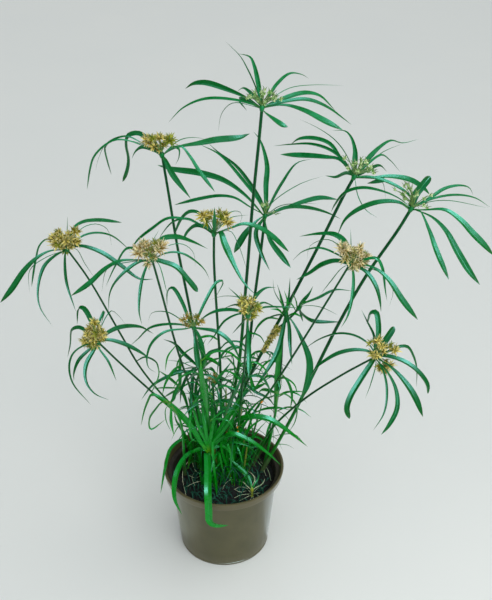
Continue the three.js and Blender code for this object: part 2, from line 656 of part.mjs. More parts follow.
// The soil fills the pot up to its level, heaped a little towards the clump, with a socket for each
// thing that is rooted in it.
function soil(rooted) {
  const inside = (height) => wallRadius(height) - WALL - GAP;
  const mound = (share) => SOIL_LEVEL + SOIL_MOUND * (Math.cos(Math.PI * share) - 1) / 2;
  const profile = [[0, FLOOR + GAP], [inside(FLOOR + GAP), FLOOR + GAP]];
  for (const share of SOIL_RINGS) profile.push([inside(mound(share)) * share, mound(share)]);
  let made = solid(turned([...profile, [0, mound(0)]]));
  for (const socket of rooted) made = made.subtract(socket);
  return made;
}

// The line of a leaf at the foot of the clump, out of the soil and along its route.
function leafCurve({ foot, route }) {
  const root = new THREE.Vector3(foot[0], foot[1], SOIL_LEVEL - ROOTING_DEPTH / 2);
  const points = route.map(([u, v, depth]) => seenAtDepth([u, v], depth));
  return new THREE.CatmullRomCurve3([root, ...points], false, "centripetal");
}

function leafBlade(shape, corners, spare = 0) {
  const curve = lowered(leafCurve(shape), spare);
  const steps = 2 * shape.route.length;
  return solid(loft(curve, steps, corners, bladeHalfWidth(shape.width), true));
}

const plant = new THREE.Group();

function addPiece(name, made, finish) {
  const mesh = new THREE.Mesh(geometryOf(made), new THREE.MeshStandardMaterial(finish));
  mesh.name = name;
  plant.add(mesh);
}

const sockets = [];

for (const shape of CULMS) {
  const line = culmLine(shape);
  addPiece(`culm_${shape.name}`, culm(line.curve), CULM_FINISH);
  addPiece(`whorl_${shape.name}`, whorl(shape, line), BRACT_FINISH);
  if (shape.umbel) addPiece(`flowers_${shape.name}`, umbel(shape.umbel, line), shape.umbel.finish);
  sockets.push(culm(line.curve, GAP));
}

for (const shape of SHOOTS) {
  const line = culmLine(shape);
  line.curve.points.push(sum(line.top, along(line.direction, -SUNK)));
  addPiece(`shoot_${shape.name}`, culm(line.curve).add(whorl(shape, line)), SHOOT_FINISH);
  sockets.push(culm(line.curve, GAP));
}

for (const shape of LEAVES) {
  addPiece(`leaf_${shape.name}`, leafBlade(shape, BLADE_CORNERS), LEAF_FINISH);
  sockets.push(leafBlade(shape, BLADE_SLOT_CORNERS, GAP));
}

addPiece("soil", soil(sockets), SOIL_FINISH);
addPiece("pot", pot(), POT_FINISH);

export default plant;
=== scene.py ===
import math
import random

import bpy
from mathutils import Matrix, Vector, noise


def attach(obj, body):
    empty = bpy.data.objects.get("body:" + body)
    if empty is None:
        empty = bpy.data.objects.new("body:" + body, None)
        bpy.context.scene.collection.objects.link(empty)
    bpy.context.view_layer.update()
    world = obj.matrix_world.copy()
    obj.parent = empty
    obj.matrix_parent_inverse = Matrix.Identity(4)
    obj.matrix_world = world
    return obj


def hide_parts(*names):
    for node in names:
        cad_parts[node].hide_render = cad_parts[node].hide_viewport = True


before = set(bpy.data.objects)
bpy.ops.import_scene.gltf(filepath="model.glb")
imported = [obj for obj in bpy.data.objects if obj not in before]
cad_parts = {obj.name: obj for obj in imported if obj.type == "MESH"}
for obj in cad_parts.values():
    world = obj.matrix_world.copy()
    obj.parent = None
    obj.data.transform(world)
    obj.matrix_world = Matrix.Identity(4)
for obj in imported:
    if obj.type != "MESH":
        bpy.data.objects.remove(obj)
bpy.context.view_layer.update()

# The pot
# A nursery pot moulded in one piece from matt olive-brown plastic: a plain tapering wall, a proud
# collar to lift it by, a small foot ring, and six drain holes in its floor.
MM = 0.001
POT_HEIGHT = 160
FOOT_RADIUS = 74.5
NECK_RADIUS = 88.8
RIM_RADIUS = 100
COLLAR_LEVEL = 146
WALL = 2.6
FLOOR_TOP = 3.5
POT_SIDES = 160
DRAIN_HOLES = 6
DRAIN_CIRCLE = 52
DRAIN_RADIUS = 5
DRILL_SIDES = 24
DRILL_ENDS = (-5, 9)


def wall_radius(height):
    return FOOT_RADIUS + (NECK_RADIUS - FOOT_RADIUS) * height / COLLAR_LEVEL


POT_OUTSIDE = [
    (0, 1), (FOOT_RADIUS - 9, 1), (FOOT_RADIUS - 7.6, 0), (FOOT_RADIUS - 1.2, 0),
    (FOOT_RADIUS - 0.3, 0.4), (FOOT_RADIUS + 0.1, 1.2), (wall_radius(3.9), 3.9),
    (wall_radius(4.4) - 0.6, 4.4), (wall_radius(5.2) - 0.6, 5.2), (wall_radius(5.9), 5.9),
    (wall_radius(9), 9), (wall_radius(30), 30), (wall_radius(75), 75), (wall_radius(120), 120),
    (wall_radius(141), 141), (wall_radius(144.4), 144.4), (NECK_RADIUS + 0.7, 145.7),
    (NECK_RADIUS + 2, 146.2), (RIM_RADIUS - 3.4, 146.3), (RIM_RADIUS - 2.3, 146.7),
    (RIM_RADIUS - 1.9, 147.8), (RIM_RADIUS - 1.6, 150), (RIM_RADIUS - 0.3, 157.2),
    (RIM_RADIUS - 0.1, 158.6), (RIM_RADIUS - 0.5, 159.6), (RIM_RADIUS - 1.5, POT_HEIGHT),
]
POT_INSIDE = [
    (RIM_RADIUS - 3.3, POT_HEIGHT), (RIM_RADIUS - 4.1, 159.5), (RIM_RADIUS - 4.5, 158.4),
    (RIM_RADIUS - 6.4, 150), (RIM_RADIUS - 6.9, 148.9), (RIM_RADIUS - 8, 148.4),
    (NECK_RADIUS - WALL + 1.2, 147.4), (NECK_RADIUS - WALL + 0.1, 146.2),
    (NECK_RADIUS - WALL - 0.2, 144), (wall_radius(100) - WALL, 100),
    (wall_radius(30) - WALL, 30), (wall_radius(5) - WALL, 5),
    (wall_radius(FLOOR_TOP) - WALL - 1.5, FLOOR_TOP), (0, FLOOR_TOP),
]


def new_form():
    """An empty shape, to which parts are added before it becomes one piece."""
    return {"corners": [], "faces": [], "finish": [], "along": [], "across": [], "tint": []}


def add_corner(form, corner, along=0.0, across=0.0, tint=0.5):
    form["corners"].append(Vector(corner) * MM)
    form["along"].append(along)
    form["across"].append(across)
    form["tint"].append(tint)
    return len(form["corners"]) - 1


def add_face(form, corners, finish=0):
    form["faces"].append(corners)
    form["finish"].append(finish)


def make_piece(name, form, finishes, crease=50):
    """One smooth mesh of the form, creased where its faces meet at more than the angle given."""
    mesh = bpy.data.meshes.new(name)
    mesh.from_pydata(form["corners"], [], form["faces"])
    for finish in finishes:
        mesh.materials.append(finish)
    mesh.polygons.foreach_set("material_index", form["finish"])
    mesh.polygons.foreach_set("use_smooth", [True] * len(form["faces"]))
    for kind in ("along", "across", "tint"):
        mesh.attributes.new(kind, "FLOAT", "POINT").data.foreach_set("value", form[kind])
    mesh.set_sharp_from_angle(angle=math.radians(crease))
    mesh.update()
    piece = bpy.data.objects.new(name, mesh)
    bpy.context.scene.collection.objects.link(piece)
    return piece


def add_band(form, near, far, finish=0):
    """The faces between two rings of corners."""
    for k in range(len(near)):
        after = (k + 1) % len(near)
        add_face(form, [near[k], far[k], far[after], near[after]], finish)


def on_circle(radius, k, sides, level=0.0):
    """The k-th of the even points on a level circle round the upright axis."""
    turn = 2 * math.pi * k / sides
    return Vector((radius * math.cos(turn), radius * math.sin(turn), level))


def add_turned(form, profile, sides, finishes):
    """A profile in (radius, height), turned round the upright axis. It starts and ends on it."""
    rings = []
    for radius, height in profile:
        turns = [0] if radius == 0 else range(sides)
        rings.append([add_corner(form, on_circle(radius, k, sides, height)) for k in turns])
    for (low, high), finish in zip(zip(rings, rings[1:]), finishes):
        for k in range(sides):
            a, b = low[k % len(low)], low[(k + 1) % len(low)]
            c, d = high[(k + 1) % len(high)], high[k % len(high)]
            add_face(form, [a, c, d] if len(low) == 1 else [a, b, c] if len(high) == 1
                     else [a, b, c, d], finish)


def shade(red, green, blue):
    """A colour as it looks on screen, turned into the light that a shader works in."""
    return tuple(((c / 255 + 0.055) / 1.055) ** 2.4 if c > 10 else c / 255 / 12.92
                 for c in (red, green, blue)) + (1,)


def new_finish(name, **sockets):
    material = bpy.data.materials.new(name)
    material.use_nodes = True
    shader = material.node_tree.nodes["Principled BSDF"]
    for socket, value in sockets.items():
        shader.inputs[socket.replace("_", " ")].default_value = value
    return material


def add_node(material, kind, inputs, **settings):
    """A shader node with its settings, and its inputs set or joined to another node's output."""
    made = material.node_tree.nodes.new("ShaderNode" + kind)
    for setting, value in settings.items():
        setattr(made, setting, value)
    for socket, value in inputs.items():
        if isinstance(value, bpy.types.NodeSocket):
            material.node_tree.links.new(value, made.inputs[socket])
        else:
            made.inputs[socket].default_value = value
    return made


def grain(material, size, stretch=(1, 1, 1), detail=3):
    """Noise of a given grain in millimetres, drawn out along an axis where its stretch is low."""
    place = add_node(material, "TexCoord", {}).outputs["Object"]
    drawn = add_node(material, "Mapping", {"Vector": place, "Scale": stretch}).outputs[0]
    return add_node(material, "TexNoise", {"Vector": drawn, "Scale": 1 / (size * MM),
                                           "Detail": detail}).outputs[0]


def ramp(material, share, stops):
    """Colours, or values given as greys, at their places along a share from 0 to 1."""
    node = add_node(material, "ValToRGB", {"Fac": share})
    band = node.color_ramp.elements
    while len(band) < len(stops):
        band.new(0.5)
    for element, (position, colour) in zip(band, stops):
        element.position, element.color = position, colour
    return node.outputs[0]


def mix(material, share, under, over):
    return add_node(material, "Mix", {0: share, 6: under, 7: over}, data_type="RGBA").outputs[2]


def coat(material, colour, *layers):
    """A colour with others laid over it in turn, each where the share given with it is high."""
    for share, over in layers:
        colour = mix(material, share, colour, over)
    return colour


def sums(material, operation, first, second=0.0):
    return add_node(material, "Math", {0: first, 1: second}, operation=operation).outputs[0]


def times(material, first, second):
    return sums(material, "MULTIPLY", first, second)


def grey(value):
    return (value, value, value, 1)


def fade(material, share, start, end, low=0, high=1):
    """A value that goes from low to high while a share goes from start to end."""
    return ramp(material, share, [(start, grey(low)), (end, grey(high))])


def dress(material, colour, roughness=None, height=None, depth=0.2, strength=0.5):
    """Joins a finish's colour, roughness and relief, its depth in millimetres, to its shader."""
    shader, links = material.node_tree.nodes["Principled BSDF"], material.node_tree.links
    links.new(colour, shader.inputs["Base Color"])
    if roughness:
        links.new(roughness, shader.inputs["Roughness"])
    if height:
        bump = add_node(material, "Bump", {"Height": height, "Strength": strength,
                                           "Distance": depth * MM})
        links.new(bump.outputs[0], shader.inputs["Normal"])
    return material


def height_share(material, low, high):
    """From 0 at one height in millimetres to 1 at another."""
    place = add_node(material, "TexCoord", {}).outputs["Object"]
    level = add_node(material, "SeparateXYZ", {0: place}).outputs[2]
    return add_node(material, "MapRange", {0: level, 1: low * MM, 2: high * MM}).outputs[0]


pot_plastic = new_finish("olive_plastic", Roughness=0.36, Specular_IOR_Level=0.5)
mould_streaks = grain(pot_plastic, 7, (1, 1, 0.06))
foot_dust = fade(pot_plastic, height_share(pot_plastic, 22, 0), 0, 1, 0, 0.35)
collar_share = height_share(pot_plastic, COLLAR_LEVEL - 1, COLLAR_LEVEL + 3)
plastic_colour = coat(
    pot_plastic, shade(72, 71, 42),
    (fade(pot_plastic, grain(pot_plastic, 34), 0.35, 0.65), shade(82, 79, 49)),
    (fade(pot_plastic, mould_streaks, 0.4, 0.7, 0, 0.18), shade(78, 72, 48)),
    (times(pot_plastic, foot_dust, grain(pot_plastic, 5)), shade(150, 143, 124)),
    (fade(pot_plastic, collar_share, 0, 1, 0, 0.3), shade(112, 100, 72)))
dress(pot_plastic, plastic_colour, fade(pot_plastic, mould_streaks, 0.3, 0.75, 0.3, 0.38),
      grain(pot_plastic, 0.9, detail=4), 0.04, 0.25)

# The inside of the pot: a darker copy of the plastic that stands in for the shade within it, with
# dark patches, part soil dirt and part painted shade, that thicken towards the soil.
shaded_pot_lining = new_finish("shaded_dirty_plastic_lining", Roughness=0.6, Specular_IOR_Level=0.4)
deep_shade_share = fade(shaded_pot_lining, height_share(shaded_pot_lining, 158, 132), 0, 1, 0.15, 1)
dirt_and_shade_patches = fade(shaded_pot_lining, grain(shaded_pot_lining, 9, detail=6), 0.42, 0.62)
dirt_and_shade_patches = times(shaded_pot_lining, dirt_and_shade_patches, deep_shade_share)
dress(shaded_pot_lining, mix(shaded_pot_lining, dirt_and_shade_patches, shade(58, 50, 38), shade(26, 24, 18)),
      fade(shaded_pot_lining, dirt_and_shade_patches, 0, 1, 0.5, 0.85), grain(shaded_pot_lining, 1.4, detail=5), 0.3, 0.5)

pot_form = new_form()
add_turned(pot_form, POT_OUTSIDE + POT_INSIDE, POT_SIDES,
           [0] * (len(POT_OUTSIDE) + 3) + [1] * (len(POT_INSIDE) - 4))
pot = make_piece("nursery_pot", pot_form, [pot_plastic, shaded_pot_lining], 32)
drill_form = new_form()
for hole in range(DRAIN_HOLES):
    middle = on_circle(DRAIN_CIRCLE, hole, DRAIN_HOLES)
    low, high = ([add_corner(drill_form, middle + on_circle(DRAIN_RADIUS, k, DRILL_SIDES, level))
                  for k in range(DRILL_SIDES)] for level in DRILL_ENDS)
    add_band(drill_form, high, low)
    add_face(drill_form, low[::-1])
    add_face(drill_form, high)
drill = make_piece("drain_hole_drill", drill_form, [pot_plastic])
drilling = pot.modifiers.new("drain_holes", "BOOLEAN")
drilling.object, drilling.operation = drill, "DIFFERENCE"
drilled = bpy.data.meshes.new_from_object(
    pot.evaluated_get(bpy.context.evaluated_depsgraph_get()))
pot.modifiers.clear()
pot.data = drilled
bpy.data.objects.remove(drill)
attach(pot, "root")
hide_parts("pot")

# The soil
# Dark, moist potting compost: a lumpy heap with loose crumbs, shreds of bark and short dead
# fibres lying on it, filled in loose to a little under the pot's collar.
SOIL_LEVEL = 133
SOIL_MOUND = 5
SOIL_RADIUS = 84.2
SOIL_FOOT_RADIUS = 71.8
SOIL_FOOT_LEVEL = 4
LUMP_SPACING = 11
LUMP_HEIGHT = 1.8
CLOD_SPACING = 3.4
SOIL_RINGS = 34
SOIL_SIDES = 132
CRUMBS = 1500
CRUMB_SPREAD = 0.97
SHREDS = 90
SHRED_SPREAD = 0.93
soil_dice = random.Random(4)


def soil_height(x, y):
    share = min(math.hypot(x, y) / SOIL_RADIUS, 1)
    heap = SOIL_LEVEL + SOIL_MOUND * (math.cos(math.pi * share) - 1) / 2
    lumps = noise.noise(Vector((x, y, 0)) / LUMP_SPACING) * LUMP_HEIGHT
    lumps += noise.noise(Vector((x, y, 9)) / CLOD_SPACING)
    return heap + lumps * (1 - share ** 8)


def random_way(dice, spread=1):
    return Vector([dice.uniform(-spread, spread) for _ in "xyz"])


def add_lump(form, middle, sizes, tint):
    """A small angular lump: a knocked-about twenty-sided grain."""
    tall = (1 + 5 ** 0.5) / 2
    grain_corners = [(-1, tall, 0), (1, tall, 0), (-1, -tall, 0), (1, -tall, 0), (0, -1, tall),
                     (0, 1, tall), (0, -1, -tall), (0, 1, -tall), (tall, 0, -1), (tall, 0, 1),
                     (-tall, 0, -1), (-tall, 0, 1)]
    turn = Vector((0, 0, 1)).rotation_difference(random_way(soil_dice))
    placed = []
    for corner in grain_corners:
        knocked = Vector(c * size * soil_dice.uniform(0.3, 0.6) for c, size in zip(corner, sizes))
        knocked.rotate(turn)
        placed.append(add_corner(form, middle + knocked, tint=tint))
    for a, b, c in [(0, 11, 5), (0, 5, 1), (0, 1, 7), (0, 7, 10), (0, 10, 11), (1, 5, 9),
                    (5, 11, 4), (11, 10, 2), (10, 7, 6), (7, 1, 8), (3, 9, 4), (3, 4, 2),
                    (3, 2, 6), (3, 6, 8), (3, 8, 9), (4, 9, 5), (2, 4, 11), (6, 2, 10),
                    (8, 6, 7), (9, 8, 1)]:
        add_face(form, [placed[a], placed[b], placed[c]])


def scattered(spread):
    """A random place on the soil, within a share of its radius."""
    reach = SOIL_RADIUS * soil_dice.random() ** 0.5 * spread
    turn = soil_dice.uniform(0, 2 * math.pi)
    return reach * math.cos(turn), reach * math.sin(turn)


def mark(material, name):
    """One of the marks that a form keeps at its corners: along, across or tint."""
    return add_node(material, "Attribute", {}, attribute_name=name).outputs["Fac"]


soil_form = new_form()
soil_middle = add_corner(soil_form, (0, 0, soil_height(0, 0)))
soil_rows = []
for ring in range(1, SOIL_RINGS + 1):
    spots = [on_circle(SOIL_RADIUS * ring / SOIL_RINGS, k, SOIL_SIDES) for k in range(SOIL_SIDES)]
    soil_rows.append([add_corner(soil_form, (x, y, soil_height(x, y))) for x, y, _ in spots])
soil_rows.append([
    add_corner(soil_form, on_circle(SOIL_FOOT_RADIUS, k, SOIL_SIDES, SOIL_FOOT_LEVEL))
    for k in range(SOIL_SIDES)])
for k in range(SOIL_SIDES):
    add_face(soil_form, [soil_middle, soil_rows[0][k], soil_rows[0][(k + 1) % SOIL_SIDES]])
for inner, outer in zip(soil_rows, soil_rows[1:]):
    add_band(soil_form, inner, outer)
add_face(soil_form, soil_rows[-1][::-1])
for _ in range(CRUMBS):
    x, y = scattered(CRUMB_SPREAD)
    size = 0.5 + 1.9 * soil_dice.random() ** 2.5
    add_lump(soil_form, Vector((x, y, soil_height(x, y) + size * 0.35)), (size, size, size * 0.8),
             soil_dice.random() * 0.6)
for _ in range(SHREDS):
    x, y = scattered(SHRED_SPREAD)
    add_lump(soil_form, Vector((x, y, soil_height(x, y) + 0.5)),
             (soil_dice.uniform(2.4, 5), 0.9, 0.6), soil_dice.uniform(0.75, 1))
compost = new_finish("moist_compost", Roughness=0.95, Specular_IOR_Level=0.25)
compost_colour = coat(
    compost, shade(12, 12, 9), (grain(compost, 6, detail=6), shade(30, 26, 19)),
    (fade(compost, mark(compost, "tint"), 0.7, 0.8, 0, 0.6), shade(72, 56, 38)))
dress(compost, compost_colour, None, grain(compost, 1.1, detail=8), 0.8, 0.9)
soil = make_piece("potting_compost", soil_form, [compost], 60)
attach(soil, "root")
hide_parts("soil")

# The culms
# The stiff, leafless green stems, finely ribbed from end to end. Each grows from the clump in the
# compost and bows out under the weight of the whorl at its top.
EYE = Vector((37, -1515, 1495))
LOOKING_DOWN = math.radians(33.6)
FOCAL_PIXELS = 1200
PICTURE_MIDDLE = (246, 300)
ROOTING_DEPTH = 14
HUB_LENGTH = 9
CULM_FOOT_SHARE = 1.3
CULM_CORNERS = 16
CULM_RIB = 0.06
CULM_RING_GAP = 11
CURVE_STEPS = 16

# For each culm, read from the photograph: the pixel of its top, how far its top stands behind the
# middle of the pot, where it leaves the soil, and the pixels that it passes, top first. Then how
# thick each is at its top, as a radius.
CULMS = {
    "01": ((262, 108), 40, (-4, 52), [(259, 140), (253, 200), (246, 285), (238, 370), (226, 425)]),
    "02": ((162, 155), 60, (-22, 56),
           [(168, 190), (178, 250), (191, 315), (200, 370), (207, 420)]),
    "03": ((354, 177), 75, (10, 66), [(344, 195), (318, 247), (292, 297), (262, 352), (240, 400)]),
    "04": ((411, 209), 10, (60, 18), [(398, 230), (366, 276), (338, 325), (308, 385), (293, 415)]),
    "05": ((265, 216), 95, (8, 46), [(261, 250), (253, 310), (247, 365), (233, 420)]),
    "06": ((214, 234), -10, (-8, 32), [(214, 262), (218, 330), (220, 360), (221, 420)]),
    "07": ((67, 249), 20, (-46, 44), [(88, 278), (120, 333), (140, 367), (165, 398), (192, 425)]),
    "08": ((152, 259), -90, (-30, 32), [(161, 291), (176, 345), (197, 412)]),
    "09": ((350, 264), -90, (24, 32), [(331, 295), (293, 356), (272, 388), (254, 413)]),
    "10": ((98, 342), -90, (-48, 28), [(120, 363), (152, 392), (175, 412), (190, 428)]),
    "11": ((194, 328), -110, (-22, 16), [(198, 350), (204, 390), (210, 430)]),
    "12": ((248, 316), -130, (10, 31), [(246, 345), (241, 400), (237, 435)]),
    "13": ((375, 357), -100, (46, 34), [(340, 376), (303, 400), (270, 431)]),
    "14": ((286, 314), 0, (52, 54), [(283, 330), (281, 365), (277, 400), (271, 432)]),
    "15": ((299, 308), 35, (24, 52), [(290, 318), (277, 330), (264, 350), (252, 372), (241, 400)]),
    "16": ((199, 368), 85, (-26, 70), [(202, 390), (207, 425)]),
    "17": ((213, 384), -35, (-4, 6), [(214, 400), (218, 425)]),
}
CULM_TOPS = {"01": 2.3, "02": 2.0, "03": 2.5, "04": 2.5, "05": 2.2, "06": 1.9, "07": 1.5,
             "08": 1.6, "09": 1.6, "10": 1.5, "11": 1.7, "12": 1.7, "13": 1.6, "14": 1.9,
             "15": 1.9, "16": 2.4, "17": 1.5}


def sight(pixel):
    """The direction in which a pixel of the photograph is seen from the eye."""
    right = (pixel[0] - PICTURE_MIDDLE[0]) / FOCAL_PIXELS
    up = (PICTURE_MIDDLE[1] - pixel[1]) / FOCAL_PIXELS
    sine, cosine = math.sin(LOOKING_DOWN), math.cos(LOOKING_DOWN)
    return Vector((right, cosine + up * sine, up * cosine - sine))


def seen_at_depth(pixel, depth):
    ray = sight(pixel)
    return EYE + ray * ((depth - EYE.y) / ray.y)


def seen_at_height(pixel, height):
    ray = sight(pixel)
    return EYE + ray * ((height - EYE.z) / ray.z)


def pictured(point):
    """The pixel of the photograph in which a point is seen."""
    away = point - EYE
    sine, cosine = math.sin(LOOKING_DOWN), math.cos(LOOKING_DOWN)
    scale = FOCAL_PIXELS / (away.y * cosine - away.z * sine)
    return (PICTURE_MIDDLE[0] + away.x * scale,
            PICTURE_MIDDLE[1] - (away.y * sine + away.z * cosine) * scale)


def points_through(start, end, pixels, power=1.0):
    """Points from start to end, seen at the pixels. Their depth runs ahead by the power."""
    passed = [0.0]
    for (u, v), (next_u, next_v) in zip(pixels, pixels[1:]):
        passed.append(passed[-1] + math.hypot(next_u - u, next_v - v))
    points = []
    for pixel, length in zip(pixels, passed):
        ahead = 1 - (1 - length / passed[-1]) ** power
        points.append(seen_at_depth(pixel, start.y + (end.y - start.y) * ahead))
    return [start] + points[1:-1] + [end]


def stations_along(points, steps, reach=1.0):
    """Even stations on a smooth curve through the points, each a point and a direction. They go
    as far along the curve as the share given."""
    ends = [2 * points[0] - points[1], *points, 2 * points[-1] - points[-2]]
    fine = []
    for a, b, c, d in zip(ends, ends[1:], ends[2:], ends[3:]):
        ab, bc, cd = (max((q - p).length, 0.01) ** 0.5 for p, q in ((a, b), (b, c), (c, d)))
        out = ((b - a) / ab - (c - a) / (ab + bc) + (c - b) / bc) * bc
        into = ((c - b) / bc - (d - b) / (bc + cd) + (d - c) / cd) * bc
        for t in (k / CURVE_STEPS for k in range(CURVE_STEPS)):
            fine.append(b + out * t + (3 * (c - b) - 2 * out - into) * t * t
                        + (2 * (b - c) + out + into) * t ** 3)
    fine.append(points[-1])
    lengths = [0.0]
    for p, q in zip(fine, fine[1:]):
        lengths.append(lengths[-1] + (q - p).length)
    made, at = [], 0
    for i in range(steps + 1):
        wanted = lengths[-1] * (reach * i / steps)
        while at < len(fine) - 2 and lengths[at + 1] < wanted:
            at += 1
        share = (wanted - lengths[at]) / max(lengths[at + 1] - lengths[at], 1e-9)
        made.append(fine[at].lerp(fine[at + 1], share))
    directions = [(made[min(i + 1, steps)] - made[max(i - 1, 0)]).normalized()
                  for i in range(steps + 1)]
    return list(zip(made, directions))


def line_length(points):
    return sum((q - p).length for p, q in zip(points, points[1:]))


def add_swept(form, stations, section_at, tint, pointed=False, twist=0.0, finish=0, side=None):
    """Carries a closed section, as (side, top, across) corners in millimetres, along stations."""
    if side is None:
        chord = stations[-1][0] - stations[0][0]
        side = Vector((chord.y, -chord.x, 0))
    if side.length < 0.1:
        side = Vector((1, 0, 0))
    steps = len(stations) - 1
    rings = []
    for i, (middle, direction) in enumerate(stations[:-1] if pointed else stations):
        t = i / steps
        side = (side - direction * side.dot(direction)).normalized()
        top = side.cross(direction)
        turn = twist * t * t
        turned_side = side * math.cos(turn) + top * math.sin(turn)
        turned_top = top * math.cos(turn) - side * math.sin(turn)
        rings.append([add_corner(form, middle + turned_side * a + turned_top * b, t, across, tint)
                      for a, b, across in section_at(t)])
    for near, far in zip(rings, rings[1:]):
        add_band(form, near, far, finish)
    add_face(form, rings[0], finish)
    if pointed:
        tip = add_corner(form, stations[-1][0], 1.0, 0.0, tint)
        last = rings[-1]
        for k in range(len(last)):
            add_face(form, [last[k], tip, last[(k + 1) % len(last)]], finish)
    else:
        add_face(form, rings[-1][::-1], finish)


def round_section(radius, corners, rib=0.0):
    """A round section, with every other corner drawn in by a share of the radius."""
    made = []
    for k in range(corners):
        angle, reach = 2 * math.pi * k / corners, radius * (1 - rib * (k % 2))
        made.append((reach * math.cos(angle), reach * math.sin(angle), math.cos(angle)))
    return made


def rooted(foot, depth):
    """A point in the soil, at a depth in millimetres under its level."""
    return Vector((*foot, SOIL_LEVEL - depth))


def culm_line(hub, depth, foot, passes):
    """The middle of the hub at a culm's top, the way it points, and the culm's points from its
    foot up."""
    top = seen_at_depth(hub, depth)
    root = rooted(foot, ROOTING_DEPTH)
    points = points_through(top, root, [hub, *passes, pictured(root)])
    direction = -stations_along(points, 60)[0][1]
    return top, direction, [*points[:0:-1], top - direction * (HUB_LENGTH / 2)]


def culm_radius(name, t):
    """A culm's radius, from its foot at 0 to its top at 1."""
    return CULM_TOPS[name] * (CULM_FOOT_SHARE - (CULM_FOOT_SHARE - 1) * t ** 0.6)


def point_on_culm(name, pixel):
    """The point of a culm's line that is seen nearest to a pixel."""
    line = stations_along(culm_lines[name][2], 120)
    return min((point for point, _ in line),
               key=lambda point: math.dist(pictured(point), pixel))


culm_green = new_finish("ribbed_green_culm", Roughness=0.34, Specular_IOR_Level=0.3,
                        Specular_Tint=(0.3, 0.9, 0.8, 1))
culm_streaks = grain(culm_green, 1.6, (1, 1, 0.04))
culm_colour = coat(
    culm_green,
    ramp(culm_green, mark(culm_green, "along"), [
        (0.0, shade(98, 130, 40)), (0.07, shade(34, 120, 20)), (0.3, shade(12, 100, 20)),
        (0.55, shade(0, 56, 12)), (1.0, shade(2, 70, 26))]),
    (fade(culm_green, culm_streaks, 0.42, 0.68, 0, 0.45), shade(38, 112, 40)),
    (times(culm_green, mark(culm_green, "tint"), 0.45), shade(4, 44, 16)))
dress(culm_green, culm_colour, fade(culm_green, culm_streaks, 0.3, 0.8, 0.3, 0.5),
      culm_streaks, 0.25, 0.5)

culm_lines = {name: culm_line(*row) for name, row in CULMS.items()}
culm_dice = random.Random(7)
for name, (_, _, points) in culm_lines.items():
    form = new_form()
    steps = round(line_length(points) / CULM_RING_GAP)
    add_swept(form, stations_along(points, steps),
              lambda t: round_section(culm_radius(name, t), CULM_CORNERS, CULM_RIB),
              culm_dice.random())
    culm = make_piece("green_culm_" + name, form, [culm_green], 80)
    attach(culm, "root")
    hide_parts("culm_" + name)

# The whorls
# Long, leathery, grass-like bracts that spread from a short hub at each culm's top and arch down
# under their own weight, with a few thread-thin ones between them. Each is folded along its midrib
# and finely veined, shiny, with a painted sheen where it faces up and painted shade where it faces
# down.
HUB_RADIUS = 3.9
HUB_END_SHARE = 0.72
# A blade's shape: its root's share of its width, where along it is widest, how blunt it ends, and
# how late it broadens.
SLIM = (0.42, 0.48, 1.5, 1)
BLADE_SHAPES = {"b": (0.2, 0.7, 2.4, 2), "s": SLIM, "t": (0.45, 0.36, 0.8, 1),
                "u": (0.8, 0.5, 12, 1)}
# Each whorl's bracts in turn: broad towards the tip, slim, with a thin tail, or blunt. A capital
# marks one that lies open to the front.
BRACT_SHAPES = {
    "01": "bsSSsssssbb", "02": "bbUSbsbS", "03": "bsbSttsSbsb", "04": "sbUssbbb",
    "05": "bbssssbsbbs", "06": "sUBbStb", "07": "bBtsssb", "08": "bStsusS", "09": "sssssSb",
    "10": "sSsstssss", "11": "sssssbs", "12": "sssssssbs", "13": "uUSubbsussS", "14": "ssbsss",
    "15": "ssss", "16": "ssssss", "17": "ssss",
}
# Folded along its midrib, a bract keeps a share of the width that it has when it lies flat.
FOLDED_SHARE = 0.82
BLADE_ARCH = 1.4
BLADE_STEPS = 26
BLADE_TWIST = 0.45
BLADE_OPENNESS = 0.35
BLADE_THICKNESS = 0.5
THREAD_WIDTH = 1.6
THREAD_STEPS = 16
VEIN_WAVES = 34
# The heights between which the painted shade on the low leaves fades out.
SHADED_LEVELS = (430, 720)

